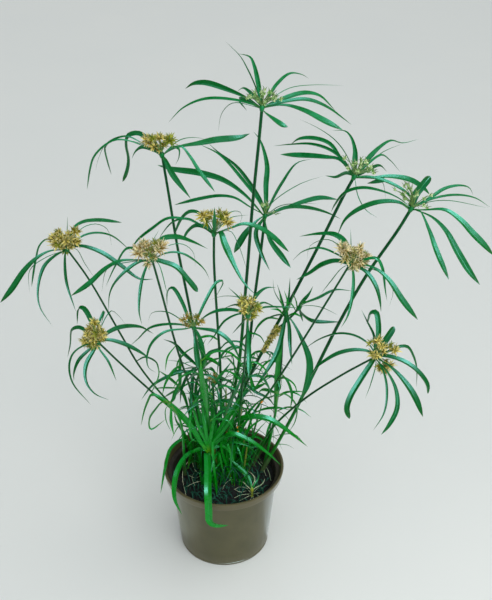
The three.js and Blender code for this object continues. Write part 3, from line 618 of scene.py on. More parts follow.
# A bract is its width, how far its tip hangs below the hub, and the pixels that it passes.
BRACTS = {
    "01": [
        [12.5, 10, [250, 100], [225, 89], [205, 83], [193, 84], [185, 89]],
        [7.2, 40, [235, 100], [205, 99], [183, 108], [168, 123]],
        [7.5, 32, [250, 102], [239, 99], [247, 111]],
        [7.5, 15, [250, 92], [243, 88], [237, 91.5]],
        [8.5, -35, [259, 88], [254, 65], [250, 57], [238, 53.5]],
        [2.6, -45, [256, 88], [247, 68], [240, 56], [225, 41]],
        [6.5, -10, [268, 98], [277, 84], [290, 73.5], [303, 75], [309, 79]],
        [10.5, 30, [280, 100], [305, 93], [320, 96], [331, 106], [336, 112]],
        [9.5, 40, [283, 102], [305, 99.5], [325, 106], [352, 125]],
        [14.5, 45, [283, 105], [302, 110], [324, 121], [343, 130]],
        [13, 35, [269, 116], [280, 124], [288, 127]],
    ],
    "02": [
        [6.5, 48, [143, 146], [127.5, 140.5], [116, 140], [106, 144.5], [94, 157], [90, 170],
         [87, 190]],
        [6.5, 35, [140, 142], [128, 136.5], [119, 137.5], [109, 142.5], [105, 147.5], [107, 160],
         [111.5, 175]],
        [9, 60, [143, 135], [136, 133], [128, 136], [126.5, 145], [129, 160], [127, 172],
         [122.5, 182]],
        [7, 30, [143, 147], [136, 151], [131.5, 159]],
        [15.5, 5, [175, 148], [200, 143.5], [215, 140.5], [240, 137.5], [250, 133.5]],
        [11, 42, [165, 160], [172, 174], [191, 199]],
        [10, 50, [180, 146], [190, 157], [198, 170], [215, 192]],
        [5, 25, [173, 147], [178.5, 149], [179, 157], [175.5, 165]],
    ],
    "03": [
        [9.5, -10, [340, 157], [330, 144], [315, 138.5], [299, 139], [291, 144]],
        [7.5, -5, [341, 158], [328, 149], [310, 144], [290, 144.5], [273, 146]],
        [16, 0, [340, 160], [325, 157.5], [295, 155.5], [280, 154.5]],
        [7.5, 30, [347, 173], [335, 177], [325, 175.5]],
        [10.5, -30, [355, 160], [355, 150], [351, 137], [345, 131], [332, 130.5]],
        [10, -15, [369, 158], [380, 147], [391, 140.5], [403, 143], [419, 139]],
        [5, 30, [381, 155], [390, 160], [401, 173]],
        [7.5, 25, [373, 167], [380, 165.5], [387, 172]],
        [12, 40, [370, 177.5], [390, 176.5], [410, 180], [424.5, 189], [430, 195]],
        [8, 48, [370, 177], [390, 183], [408, 194], [420, 210]],
        [9.5, 30, [372, 178], [385, 179], [377, 181], [367, 183.5]],
    ],
    "04": [
        [13.5, 45, [400, 203], [382, 202], [362, 208], [346, 219], [337, 236]],
        [9.5, 33, [400, 199], [383, 191.5], [362, 188], [345, 193], [334, 206], [331, 212]],
        [14, -25, [415, 196], [422, 186.5], [430.5, 176]],
        [7, 10, [430, 198], [445, 188.5], [460, 185.5], [469.5, 188], [473.5, 196]],
        [5.5, 28, [432, 199], [455, 195], [475, 198], [491, 208]],
        [14, 54, [425, 210], [445, 210], [460, 220], [472, 233], [486, 247], [494, 256]],
        [12.5, 73, [432.5, 217.5], [446, 231], [456.5, 250], [468.5, 270], [480, 285]],
        [10.5, 70, [419, 210], [429, 230], [436, 250], [449, 280]],
    ],
    "05": [
        [16, -35, [246, 196], [223.5, 180.5], [199.5, 173.5], [173, 169.5], [157, 165]],
        [9.5, 10, [250, 207], [235, 198], [220, 196], [200, 199], [174, 205]],
        [7.5, -70, [262, 203], [246, 178], [235, 165], [218, 152], [208, 143]],
        [7, -70, [260, 203], [246, 184], [220, 155], [199, 144]],
        [10.5, -80, [266, 203], [266, 185], [267, 165], [260, 140], [253, 131]],
        [6, -40, [270, 205], [282, 183], [297, 163], [312, 159]],
        [14.5, 50, [258, 220], [247, 232], [234, 253]],
        [9, 60, [256, 232], [260, 250], [270, 271]],
        [11, 55, [265, 222], [270, 240], [283, 258], [291, 268]],
        [11, 10, [280, 210], [300, 203], [320, 198], [338, 199.5]],
        [10, 35, [285, 208], [305, 207.5], [325, 212], [341, 219]],
    ],
    "06": [
        [6, 33, [203, 227], [187, 219], [173, 222], [162, 234], [158, 241]],
        [8, 32, [205, 227], [196, 225.5], [188.5, 231], [183.5, 239]],
        [9, 30, [199, 213], [190.5, 211.5], [183.5, 216.5], [178, 226], [174, 236]],
        [9, 38, [200, 224], [185, 219], [168, 218.5], [152, 229], [138, 240], [131, 249]],
        [6.5, -58, [214.5, 224], [214.5, 207]],
        [14.5, 65, [220, 232], [224, 243], [231, 259], [244, 283], [257, 296]],
        [13, 40, [231, 228], [243, 224], [257, 227], [270, 235], [289, 252]],
    ],
    "07": [
        [12.5, 60, [50, 251], [37, 258], [25, 270], [12, 289], [0, 303]],
        [6.5, 78, [48, 239], [40, 245], [36, 260], [31.5, 287]],
        [8, 74, [55, 256], [44, 267], [38, 290], [40, 307], [53, 327]],
        [5.5, 65, [65, 256], [66.5, 282], [76, 312]],
        [10.5, 46, [80, 246], [100, 252], [120, 265], [140, 279], [154, 279]],
        [6, 32, [81, 237], [95, 233], [112, 236], [132, 252]],
        [11, 0, [74, 228], [82, 222.5], [97, 220.5], [122, 222.5]],
    ],
    "08": [
        [11, 50, [135, 260], [120, 261], [106, 268.5], [89.5, 283.5], [71, 296]],
        [5, 65, [138, 250], [128, 248], [116, 265], [105.5, 287]],
        [8, 60, [137, 263], [117, 280], [110, 293], [108.5, 313]],
        [5.5, 66, [146, 268], [141, 285], [139, 311], [142, 325]],
        [11, 48, [163, 262], [176, 267], [188, 280], [198, 292]],
        [5.5, 40, [167, 253], [182, 253.5], [203, 268], [210, 280]],
        [10.5, 22, [161, 240], [176, 237], [193, 242], [208, 249]],
    ],
    "09": [
        [12, 0, [345, 243], [335, 235], [318, 234], [299, 236.5]],
        [4.5, 28, [340, 256], [320, 248], [303, 251.5], [292, 261]],
        [12.5, 38, [337, 261], [323, 264.5], [309, 273.5], [296, 280]],
        [6, 66, [353, 271], [353, 290], [348, 315], [341, 328]],
        [9, 56, [365, 271], [375.5, 285.5], [380, 302], [381, 312]],
        [5.5, 50, [376, 258], [382, 267], [385, 288], [387, 301]],
        [11.5, 62, [372, 267], [387, 278], [402.5, 300.5], [418, 320]],
    ],
    "10": [
        [9.5, 10, [92, 323], [86, 311], [83, 308], [79, 308], [77, 325]],
        [8, 60, [90, 334], [80, 327.5], [72, 330], [70, 345], [67.5, 358]],
        [5.5, 62, [83, 346], [73, 354], [69.5, 366], [73, 383], [91.5, 405.5]],
        [7, 50, [90, 349], [79, 360], [74, 373], [74, 381]],
        [8, 58, [94, 350], [86, 365], [86, 381], [94, 393], [110, 400.5]],
        [4.5, 52, [99, 348], [108, 361], [116.5, 381]],
        [10.5, 28, [106, 334], [120, 327.5], [140, 327], [154, 334]],
        [10.5, 40, [107, 340], [122, 343.5], [138, 351], [152, 360]],
        [4.5, 10, [99, 323], [104, 311], [101, 325]],
    ],
    "11": [
        [7, 5, [190, 322], [182, 302], [173, 288], [168, 290], [167, 308]],
        [6, -5, [197, 320], [206, 300], [217, 282], [223, 281], [216, 297]],
        [6, 40, [183, 325], [165, 324.5], [150, 328], [138, 339], [130, 346]],
        [6, 50, [185, 329], [165, 332], [152, 343], [147, 358], [149, 368], [157, 373]],
        [9, 48, [202, 329], [217, 332], [231, 343], [241, 362]],
        [9.5, 50, [195, 342], [199, 370]],
        [8.5, 45, [198, 335], [206, 357]],
    ],
    "12": [
        [9, 34, [238, 311], [218, 311], [203, 318], [198, 324]],
        [4.5, 25, [237, 305], [222, 309]],
        [6, 46, [240, 314], [225, 321], [215, 335], [207, 345]],
        [3.5, -10, [241, 300], [228, 287]],
        [4.5, 25, [262, 308], [280, 307], [300, 308]],
        [4.5, 28, [262, 303], [275, 307], [282, 311]],
        [7, -5, [256, 296], [266, 288], [276, 287.5]],
        [8, 44, [248, 325], [249, 350], [249, 378]],
        [4.5, 40, [243, 322], [232, 334]],
    ],
    "13": [
        [10, -15, [378.3, 336], [378.2, 322], [376, 312.5], [371, 313], [366.8, 324]],
        [12, -10, [384.5, 342], [394.5, 326.5]],
        [6, 70, [383, 354], [392, 349.5], [399, 346.5], [407, 346.5], [413, 355.5], [416.5, 368],
         [416.5, 387]],
        [10, 48, [386, 356], [403, 361], [417.5, 371], [427, 384], [428, 394]],
        [12, 65, [392, 368], [406.5, 384], [415.5, 398.5], [423, 417]],
        [8.8, 76, [388, 373], [396, 390], [397, 408], [389, 425], [381, 435]],
        [4.5, 72, [384, 373], [387, 392], [384, 413], [373, 431]],
        [10.5, 66, [372, 362], [360, 380.5], [350.5, 396.5], [347, 408], [349.5, 419]],
        [10.5, 42, [370, 352], [356.5, 350], [340, 353], [328, 359], [316, 368], [309, 379]],
        [6.5, 28, [371, 347], [358, 337], [340, 333.5], [320, 339], [303, 350]],
        [4.5, -35, [374, 336], [367, 321], [361, 309]],
    ],
    "14": [
        [4.5, -15, [289, 295], [290, 277]],
        [4.5, -5, [284, 308], [279, 290], [277, 284]],
        [15, 125, [292, 321], [302, 340], [309, 360], [308, 380], [301, 400]],
        [7.5, 55, [289, 326], [290, 345], [292, 365]],
        [10, 74, [283, 330], [278, 350], [268, 369], [255, 387]],
        [4.5, 32, [278, 315], [262, 320]],
    ],
    "15": [
        [7.5, 0, [300, 305], [309.5, 293], [313, 286]],
        [6.5, 10, [303, 304], [318, 298], [335, 290], [353, 291]],
        [10, 40, [303, 315], [312, 321], [341, 322]],
        [7.5, 38, [300, 312], [303, 322]],
    ],
    "16": [
        [7.5, 45, [190, 371], [178, 373], [165, 378], [152, 386], [141, 400]],
        [8, -5, [193, 362], [183, 353], [175, 344], [163, 339]],
        [8, 55, [194, 373], [192, 388], [191, 405], [191, 422]],
        [9.5, 5, [204, 362], [210, 353], [218, 349], [225, 345]],
        [8, -10, [203, 358], [199, 345], [195, 335]],
        [8, 100, [208, 373], [210, 392], [213, 412]],
    ],
    "17": [
        [9.5, 35, [219, 378], [228, 381], [238, 387]],
        [6, 0, [222, 374], [232, 361]],
        [4.5, 45, [217, 390], [220, 402], [224, 418]],
        [4.5, 30, [207, 380], [201, 377]],
    ],
}

# The thread-thin bracts, in the same way but all of one width: the drop, then the pixels.
THREADS = {
    "01": [[45, [233, 103], [222, 113], [218, 133]],
           [0, [274, 97], [290, 88], [312, 85], [344, 85.5]]],
    "02": [[40, [140, 143.5], [120, 140], [107, 143], [98, 160], [95.5, 172]],
           [20, [180, 140], [195, 137.5], [208, 140]]],
    "03": [[-35, [349, 160], [336, 141], [318, 128], [299, 119]],
           [-8, [369, 164], [383, 152], [403, 143.5]],
           [40, [370, 178], [382, 182], [385, 193], [385.5, 200]],
           [50, [358, 196], [366, 210], [378, 218]]],
    "04": [[30, [425, 203], [447, 200.5], [488, 208]]],
    "05": [[-20, [271, 204], [300, 184], [323, 176]], [30, [280, 206], [300, 203.5], [320, 204]]],
    "06": [[50, [230, 231], [238, 244], [247, 270]], [20, [230, 218], [243, 215.5], [250, 215]],
           [30, [231, 212], [240, 212], [242, 217], [238, 226]]],
    "07": [[55, [45, 258], [30, 270], [29.5, 294]], [46, [76, 249], [85, 264], [94, 277]],
           [30, [81, 229], [95, 224], [107, 229], [112, 247]], [-15, [67, 236], [67.5, 216]]],
    "08": [[48, [130, 262], [108, 268], [101.5, 293]], [50, [158, 263], [166, 289], [168, 296]],
           [35, [168, 246], [182, 244], [193, 252], [195.5, 268]], [-10, [152, 243], [159, 230]]],
    "09": [[28, [338, 245], [327, 239.5], [310, 246], [307, 260]],
           [48, [342, 268], [331, 281], [320, 295]],
           [52, [385, 275], [393, 290], [389, 307]], [-20, [351, 243], [350.5, 228]]],
    "10": [[10, [102, 325], [111, 311], [118, 315], [126, 325]]],
    "11": [[28, [183, 321], [167, 312], [152, 313], [148, 322]]],
    "12": [[10, [243, 300], [225, 296], [209, 300]]],
    "13": [[52, [376, 362], [371, 383], [365, 399]]],
    "14": [[-15, [282, 305], [274, 290], [273, 278]]],
    "15": [[30, [303, 306], [320, 307], [338, 315]]],
    "16": [[28, [190, 366], [181, 362], [165, 360]]],
    "17": [[25, [225, 378], [233, 373], [236, 372]]],
}


def blade_half_width(width, t, shape=SLIM):
    """Slim where it leaves the hub, widest past the middle, and tapering to a point."""
    root_share, widest, bluntness, lateness = shape
    swelling = math.sin(min(t / widest, 1) * math.pi / 2) ** lateness
    swelling = root_share + (1 - root_share) * swelling
    tapering = 1 - (max(t - widest, 0) / (1 - widest)) ** bluntness
    return width / 2 * swelling * tapering


def blade_section(half):
    """A shallow fold with a keeled midrib under it, thin at its two edges."""
    thick = min(BLADE_THICKNESS, half * 0.3)
    over = [(1, 0.26), (0.6, 0.05), (0.14, -0.16), (0, -0.23), (-0.14, -0.16), (-0.6, 0.05),
            (-1, 0.26)]
    under = [(-0.55, -0.04, 0.5), (0, -0.26, 1.4), (0.55, -0.04, 0.5)]
    return ([(across * half, up * half, across) for across, up in over]
            + [(across * half, up * half - keel * thick, across) for across, up, keel in under])


def add_blade(form, points, width, tint, twist, steps=BLADE_STEPS, shape=SLIM, side=None,
              finish=0):
    """A blade along its points. It lies level across its length, or a little open to the front,
    and turns its upper face forwards by the twist at its tip."""
    chord = points[-1] - points[0]
    level = Vector((chord.y, -chord.x, 0)).normalized()
    forwards = -1 if level.dot(EYE - points[0]) > 0 else 1
    if side is None:
        side = level.lerp(chord.cross(EYE - points[0]).normalized(), BLADE_OPENNESS)
    add_swept(form, stations_along(points, steps),
              lambda t: blade_section(blade_half_width(width, t, shape)), tint, True,
              twist * forwards, finish, side)


def open_side(points):
    """The way across a leaf that lies open to the front."""
    return (points[1] - points[0]).cross(EYE - points[0]).normalized()


def add_whorl(form, hub, top, direction, bracts, shapes, threads, dice, hub_radius=HUB_RADIUS,
              hub_finish=0, thread_finish=0):
    """The hub with its bracts, which leave it at five levels in turn."""
    half = direction * (HUB_LENGTH / 2)
    add_swept(form, stations_along([top - half, top, top + half], 8),
              lambda t: round_section(hub_radius * (HUB_END_SHARE + (1 - HUB_END_SHARE)
                                                    * math.sin(math.pi * t)), 12, 0.08), 0.5,
              finish=hub_finish)

    def arched(start, drop, pixels):
        tip = seen_at_height(pixels[-1], start.z - drop)
        return points_through(start, tip, [hub, *pixels], BLADE_ARCH)

    for i, ((width, drop, *pixels), shape) in enumerate(zip(bracts, shapes)):
        points = arched(top + direction * ((i * 3) % 5 - 2), drop, pixels)
        add_blade(form, points, width * FOLDED_SHARE, dice.random(),
                  dice.uniform(0.1, BLADE_TWIST), shape=BLADE_SHAPES[shape.lower()],
                  side=open_side(points) if shape.isupper() else None)
    for i, (drop, *pixels) in enumerate(threads):
        points = arched(top + direction * (i - 1), drop, pixels)
        add_blade(form, points, THREAD_WIDTH, dice.random(), dice.uniform(0, 1), THREAD_STEPS,
                  finish=thread_finish)


def blade_finish(name, root, middle, bright, painted_sheen, tip, deep_and_shaded_green, gloss, painted_low_shade=0.0):
    """A veined leaf surface: its colours along the blade, a painted blue-green sheen where the
    surface faces up, a deeper green that darkens some blades at random and is painted shade where
    the surface faces down, how rough its shiny parts are, and how much of that painted shade the
    leaves low down take on."""
    finish = new_finish(name, Roughness=gloss, Specular_IOR_Level=0.5,
                        Specular_Tint=(0.44, 0.93, 0.91, 1))
    along, across, tint = (mark(finish, kind) for kind in ("along", "across", "tint"))
    patchy = fade(finish, grain(finish, 16, detail=4), 0.38, 0.66, 0, 0.7)
    normal = add_node(finish, "NewGeometry", {}).outputs["Normal"]
    facing_up = add_node(finish, "SeparateXYZ", {0: normal}).outputs[2]
    veins = sums(finish, "SINE", times(finish, across, VEIN_WAVES))
    veins = times(finish, sums(finish, "ADD", veins, 1), 0.5)
    colour = coat(
        finish, ramp(finish, along, [(0.0, root), (0.14, middle), (0.86, middle), (0.97, tip)]),
        (times(finish, patchy, tint), bright),
        (fade(finish, tint, 0, 0.55, 0.5, 0), deep_and_shaded_green),
        # A painted sheen where the surface faces up.
        (fade(finish, facing_up, 0.7, 1, 0, 0.3), painted_sheen),
        # Painted shade where the surface faces down.
        (fade(finish, times(finish, facing_up, -1), 0, 0.7, 0, 0.7), deep_and_shaded_green),
        # Painted shade on the leaves low down, fading out with height.
        (fade(finish, height_share(finish, *SHADED_LEVELS), 0, 1, painted_low_shade, 0), deep_and_shaded_green),
        (times(finish, veins, 0.16), shade(2, 44, 14)),
        (fade(finish, sums(finish, "ABSOLUTE", across), 0.03, 0.12, 0.4, 0), shade(60, 146, 76)))
    return dress(finish, colour, fade(finish, patchy, 0, 1, gloss, gloss + 0.14), veins, 0.1, 0.45)


# The fourth colour is a painted sheen; the sixth is a deeper green that is also painted shade,
# which the low leaves take on by the share given last.
bract_green = blade_finish("leathery_green_bract", shade(84, 142, 36), shade(4, 121, 44),
                           shade(28, 158, 88), shade(46, 168, 126), shade(50, 104, 30),
                           shade(0, 78, 6), 0.26, 0.55)
bract_dice = random.Random(21)
for name, (top, direction, _) in culm_lines.items():
    form = new_form()
    add_whorl(form, CULMS[name][0], top, direction, BRACTS[name], BRACT_SHAPES[name],
              THREADS[name], bract_dice)
    whorl = make_piece("leafy_whorl_" + name, form, [bract_green], 62)
    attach(whorl, "root")
    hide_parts("whorl_" + name)

# The umbels
# The flower heads: wiry rays that rise from the hub inside the whorl, each ending in a ball of
# flat, scaly spikelets with a few tiny leaves under it. They open pale green and ripen to gold
# and brown.
RAY_RADIUS = 0.6
SPIKELET_STEPS = 7
PIXELS_PER_MM = 0.66
SPIKELET_LENGTHS = (0.7, 1.25)
SPIRAL_TURN = 2.39996
LEAFLET_LENGTH = 8
LEAFLET_WIDTH = 1.7
FILLER_SCATTER = 2.5
SCALE_WAVES = 30
PLUMPNESS = {"pale": 0.36, "yellow": 0.11, "brown": 0.1}
BALL_SHARE = {"pale": 0.62, "yellow": 1.35, "brown": 1.05}

# An old flower head has dried along the culm that carries it: its first and last pixel.
WITHERED_FROM, WITHERED_TO, WITHERED_TUFTS = (278, 327), (262, 351), 22

# The two umbels whose flowers have faded to cream.
FADED = ("08", "09")
# For each umbel: the pixel of its middle, its reach, its colour, how many balls stand behind it
# and how many fill it, and the pixel and size in pixels of each ball that the photograph shows.
UMBELS = {
    "01": ((262, 99), 28, "pale", 5, 9, [(250, 96, 4), (255, 95, 4), (262, 92, 4), (265, 90, 3),
           (270, 92, 4), (275, 98, 4), (281, 99, 4), (247, 98, 3), (264, 104, 4), (258, 101, 3)]),
    "02": ((158, 142), 25, "yellow", 5, 5, [(146, 140, 6), (159, 136, 5), (170, 140, 6),
           (153, 146, 5), (159, 149, 4), (164, 144, 5), (152, 138, 4)]),
    "03": ((358, 167), 25, "pale", 4, 8, [(345, 158, 4), (356, 163, 4), (361, 159, 3),
           (366, 161, 4), (371, 167, 4), (368, 171, 4), (374, 173, 4), (357, 171, 4),
           (352, 165, 4)]),
    "04": ((414, 198), 28, "pale", 4, 6, [(404, 186, 3), (408, 185, 3), (395, 190, 3),
           (405, 199, 4), (417, 194, 4), (431, 195, 4), (424, 205, 4), (427, 208, 3),
           (410, 205, 4)]),
    "05": ((267, 208), 12, "pale", 1, 2, [(263, 205, 5), (274, 212, 2), (268, 207, 3)]),
    "06": ((215, 219), 26, "yellow", 4, 1, [(202, 215, 6), (206, 220, 6), (210, 214, 5),
           (222, 217, 6), (228, 222, 6), (226, 215, 5), (217, 222, 4)]),
    "07": ((64, 243), 23, "yellow", 6, 38, [(56, 243, 8), (58, 234, 5), (66, 240, 5), (76, 231, 6),
           (75, 241, 5), (65, 251, 4), (52, 238, 5), (69, 246, 5)]),
    "08": ((149, 252), 26, "yellow", 5, 22, [(138, 252, 7), (145, 243, 5), (150, 250, 5),
           (161, 247, 7), (147, 264, 4), (155, 258, 4), (141, 246, 5), (156, 243, 5)]),
    "09": ((354, 256), 25, "yellow", 4, 28, [(341, 247, 6), (345, 257, 6), (360, 247, 5),
           (367, 257, 6), (355, 265, 6), (363, 264, 5), (352, 269, 3), (351, 253, 6)]),
    "10": ((94, 335), 22, "yellow", 4, 26, [(95, 322, 5), (95, 332, 6), (103, 335, 5),
           (84, 341, 5), (92, 346, 5), (88, 331, 4)]),
    "11": ((192, 320), 15, "brown", 2, 6, [(182, 320, 4), (197, 316, 4), (188, 326, 4),
           (202, 322, 4), (190, 318, 3)]),
    "12": ((248, 308), 19, "yellow", 4, 18, [(243, 299, 5), (248, 306, 5), (258, 308, 5),
           (243, 310, 4), (254, 316, 4), (248, 319, 3), (252, 300, 4)]),
    "13": ((382, 352), 22, "yellow", 1, 10, [(370, 342.5, 4), (378, 340, 5), (382, 345, 4),
           (391, 345, 3.5), (395.5, 349.5, 5.5), (372, 354, 4.5), (377, 355.5, 4.5),
           (380.5, 368, 5), (386, 368, 6.5), (390.5, 365.5, 5), (386, 361, 3)]),
    "17": ((214, 377), 9, "brown", 1, 3, [(210, 378, 3), (214, 382, 3), (216, 377, 2.5)]),
}


def add_spikelet(form, root, way, length, plumpness, tint, ripeness, dice):
    """A flat spear of scales that overlap in two rows, so its edges are toothed."""
    half = length * plumpness
    stations = [(root + way * (length * k / SPIKELET_STEPS), way)
                for k in range(SPIKELET_STEPS + 1)]
    turn = dice.uniform(0, math.pi)
    cosine, sine = math.cos(turn), math.sin(turn)

    def section(t):
        body = half * (0.45 + 0.55 * math.sin(math.pi * min(t * 1.25, 1)))
        tooth = 0.3 * half * (1 if round(t * SPIKELET_STEPS) % 2 else -1)
        flat = [(body + tooth, 0), (0, body * 0.5), (tooth - body, 0), (0, -body * 0.5)]
        return [(a * cosine - b * sine, a * sine + b * cosine, ripeness) for a, b in flat]

    add_swept(form, stations, section, tint, True)


def add_ball(form, middle, outward, size, plumpness, dice):
    """A ball of spikelets at a ray's end, open on the side that the ray comes from."""
    count = round(11 + 1.1 * size)
    ripeness = dice.random()
    for k in range(count):
        z = 1 - (2 * k + 1) / count
        turn, flat = k * SPIRAL_TURN + ripeness * 6, math.sqrt(1 - z * z)
        way = Vector((flat * math.cos(turn), flat * math.sin(turn), z))
        way = (way + outward * 0.5 + random_way(dice, 0.3)).normalized()
        length = size * dice.uniform(*SPIKELET_LENGTHS)
        add_spikelet(form, middle - outward * (0.2 * size), way, length, plumpness,
                     dice.random(), ripeness, dice)


def flower_finish(name, shaded_part, lit_part, tips, stem, unripe):
    finish = new_finish(name, Roughness=0.8, Specular_IOR_Level=0.06)
    along, ripeness, tint = (mark(finish, kind) for kind in ("along", "across", "tint"))
    scales = sums(finish, "SINE", times(finish, along, SCALE_WAVES))
    colour = coat(
        finish, shaded_part,
        (fade(finish, tint, 0.2, 0.8), lit_part),
        (fade(finish, along, 0.55, 1, 0, 0.75), tips),
        (fade(finish, along, 0, 0.4, 0.9, 0), stem),
        (fade(finish, ripeness, 0.1, 0.26, 0.75, 0), unripe),
        (fade(finish, grain(finish, 2.2), 0.4, 0.7, 0, 0.3), shaded_part))
    return dress(finish, colour, None, scales, 0.15, 0.6)


flower_finishes = {
    "pale": flower_finish("pale_green_spikelets", shade(140, 196, 96), shade(228, 244, 190),
                          shade(250, 250, 226), shade(70, 150, 50), shade(90, 170, 60)),
    "yellow": flower_finish("golden_spikelets", shade(124, 112, 8), shade(255, 238, 132),
                            shade(255, 250, 210), shade(62, 72, 6), shade(126, 152, 30)),
    "faded": flower_finish("faded_spikelets", shade(160, 134, 66), shade(255, 244, 190),
                           shade(255, 252, 232), shade(84, 92, 20), shade(130, 150, 40)),
    "brown": flower_finish("brown_spikelets", shade(122, 92, 14), shade(220, 190, 90),
                           shade(226, 192, 116), shade(72, 84, 16), shade(120, 130, 30)),
}
ray_green = new_finish("wiry_green_ray", Roughness=0.5)
ray_streaks = grain(ray_green, 1.2, (1, 1, 0.2))
dress(ray_green, mix(ray_green, ray_streaks, shade(64, 118, 48), shade(122, 150, 72)), None,
      ray_streaks, 0.1)
flower_dice = random.Random(33)
for name, (middle, reach, tint, behind, fillers, balls) in UMBELS.items():
    top, direction, _ = culm_lines[name]
    heart = seen_at_depth(middle, top.y)
    crown = top + direction * (HUB_LENGTH / 2 - 0.5)
    placed = []
    fill = []
    for _ in range(fillers):
        one, other = flower_dice.sample(balls, 2)
        share = flower_dice.random()
        off = flower_dice.uniform(-FILLER_SCATTER, FILLER_SCATTER)
        fill.append([a + (b - a) * share + off for a, b in zip(one[:2], other[:2])]
                    + [0.85 * min(one[2], other[2])])
    balls = balls + fill
    for u, v, size in balls:
        aside = math.hypot(u - middle[0], v - middle[1]) / PIXELS_PER_MM
        room = math.sqrt(max(reach ** 2 - aside ** 2, 9)) * 0.55
        placed.append((seen_at_depth((u, v), heart.y + flower_dice.uniform(-room, room)),
                       size * BALL_SHARE[tint] / PIXELS_PER_MM))
    for k in range(behind):
        turn = math.pi * (k + 0.5) / behind
        away = Vector((math.cos(turn) * 0.62, math.sin(turn) * 0.6,
                       flower_dice.uniform(-0.2, 0.3)))
        placed.append((heart + away * reach, flower_dice.uniform(5, 7) * BALL_SHARE[tint]))
    form = new_form()
    for end, size in placed:
        outward = (end - crown).normalized()
        elbow = crown.lerp(end, 0.5) + direction * ((end - crown).length * 0.12)
        add_swept(form, stations_along([crown, elbow, end], 6),
                  lambda t: round_section(RAY_RADIUS * (1.2 - 0.4 * t), 6), 0.5, finish=1)
        add_ball(form, end, outward, size, PLUMPNESS[tint], flower_dice)
        for side in (-1, 1):
            spread = Vector((side * flower_dice.uniform(0.4, 1), flower_dice.uniform(-0.7, 0.7),
                             flower_dice.uniform(-0.1, 0.6)))
            leaf_end = end + (outward + spread).normalized() * LEAFLET_LENGTH
            leaf = stations_along([end - outward * 2, end.lerp(leaf_end, 0.5) + Vector((0, 0, 1)),
                                   leaf_end], 6)
            add_swept(form, leaf, lambda t: blade_section(blade_half_width(LEAFLET_WIDTH, t)), 0.5,
                      True, finish=1)
    umbel = make_piece("flower_umbel_" + name, form,
                       [flower_finishes["faded" if name in FADED else tint], ray_green], 62)
    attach(umbel, "root")
    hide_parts("flowers_" + name)

withered_form = new_form()
for k in range(WITHERED_TUFTS):
    share = k / (WITHERED_TUFTS - 1)
    spot = point_on_culm("15", [a + (b - a) * share for a, b in zip(WITHERED_FROM, WITHERED_TO)])
    outward = random_way(flower_dice).normalized()
    add_ball(withered_form, spot + outward * 2, outward, 8 - 3 * share, 0.2, flower_dice)
withered = make_piece("withered_flower_spike", withered_form, [flower_finishes["yellow"]], 62)
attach(withered, "root")

# The young shoots
# New growth at the edge of the clump: a short, soft stem with its first few leaves, lighter and
# yellower than the old ones. The smallest sits on the compost at the front with its roots bare.
SHOOT_FOOT_RADIUS = 2.7
BARE_HUB_RADIUS = 2.7
SHOOTS = {
    "1": ((180, 388), 50, (-46, 60), [(187, 405)]),
    "2": ((277, 394), -10, (66, 30), [(276, 410)]),
    "3": ((170, 404), -62, (-66, 12), [(180, 420)]),
    "4": ((252, 490), -46, (47, -44), []),
}
SHOOT_LEAVES = {
    "1": [
        [8, -10, [180, 380], [180, 365], [181, 350]],
        [6, 10, [175, 383], [168, 377], [158, 370]],
        [4.5, 30, [172, 388], [160, 388], [152, 389]],
        [7.5, 40, [175, 391], [168, 395], [163, 398]],
        [6.5, 40, [177, 393], [172, 400], [169, 406]],
        [7.5, 45, [183, 392], [186, 402], [190, 412]],
    ],
    "2": [
        [6, 75, [284, 394], [291, 398], [297, 408], [295, 422], [288, 433]],
        [7.5, 30, [270, 391], [262, 390], [256, 396]],
        [4.5, 28, [271, 397], [262, 399]],
        [4.5, -25, [280, 388], [277, 378], [273, 373]],
    ],
    "3": [
        [9.5, 45, [163, 399], [152, 395], [147, 403], [143, 415], [141, 426]],
        [7.5, 42, [163, 402], [155, 410], [149, 420], [151, 429], [166, 419]],
        [6, 50, [171, 410], [171, 420], [174, 436]],
        [7.5, 0, [173, 400], [175, 393], [180, 380]],
    ],
    "4": [[6.5, -45, [251, 484], [247, 475], [238, 466], [226, 456]],
          [3.5, -16, [255, 484], [258, 479], [259, 474]]],
}
SHOOT_THREADS = {
    "1": [],
    "2": [],
    "3": [[48, [166, 408], [166, 420], [172, 433]]],
    "4": [[2, [247, 486], [243, 482], [238, 481]], [0, [257, 487], [262, 484], [265, 478]],
          [2, [255, 484], [254, 477], [250, 471]]],
}
# In these finishes too the fourth colour is a painted sheen and the sixth is also painted shade.
shoot_green = blade_finish("soft_young_green", shade(160, 190, 50), shade(14, 132, 20),
                           shade(46, 158, 50), shade(60, 168, 104), shade(98, 136, 40),
                           shade(6, 104, 8), 0.3)
shoot_heart = blade_finish("yellow_green_heart", shade(210, 200, 90), shade(190, 206, 50),
                           shade(220, 224, 90), shade(190, 214, 80), shade(120, 170, 40),
                           shade(150, 160, 30), 0.5)
root_pale = new_finish("pale_roots", Roughness=0.7)
root_colour = coat(
    root_pale, shade(168, 204, 152), (mark(root_pale, "tint"), shade(250, 255, 216)),
    (fade(root_pale, grain(root_pale, 1.5), 0.4, 0.7, 0, 0.25), shade(150, 150, 100)))
dress(root_pale, root_colour, None, grain(root_pale, 0.8), 0.2, 0.6)
shoot_lines = {name: culm_line(*row) for name, row in SHOOTS.items()}
shoot_dice = random.Random(5)
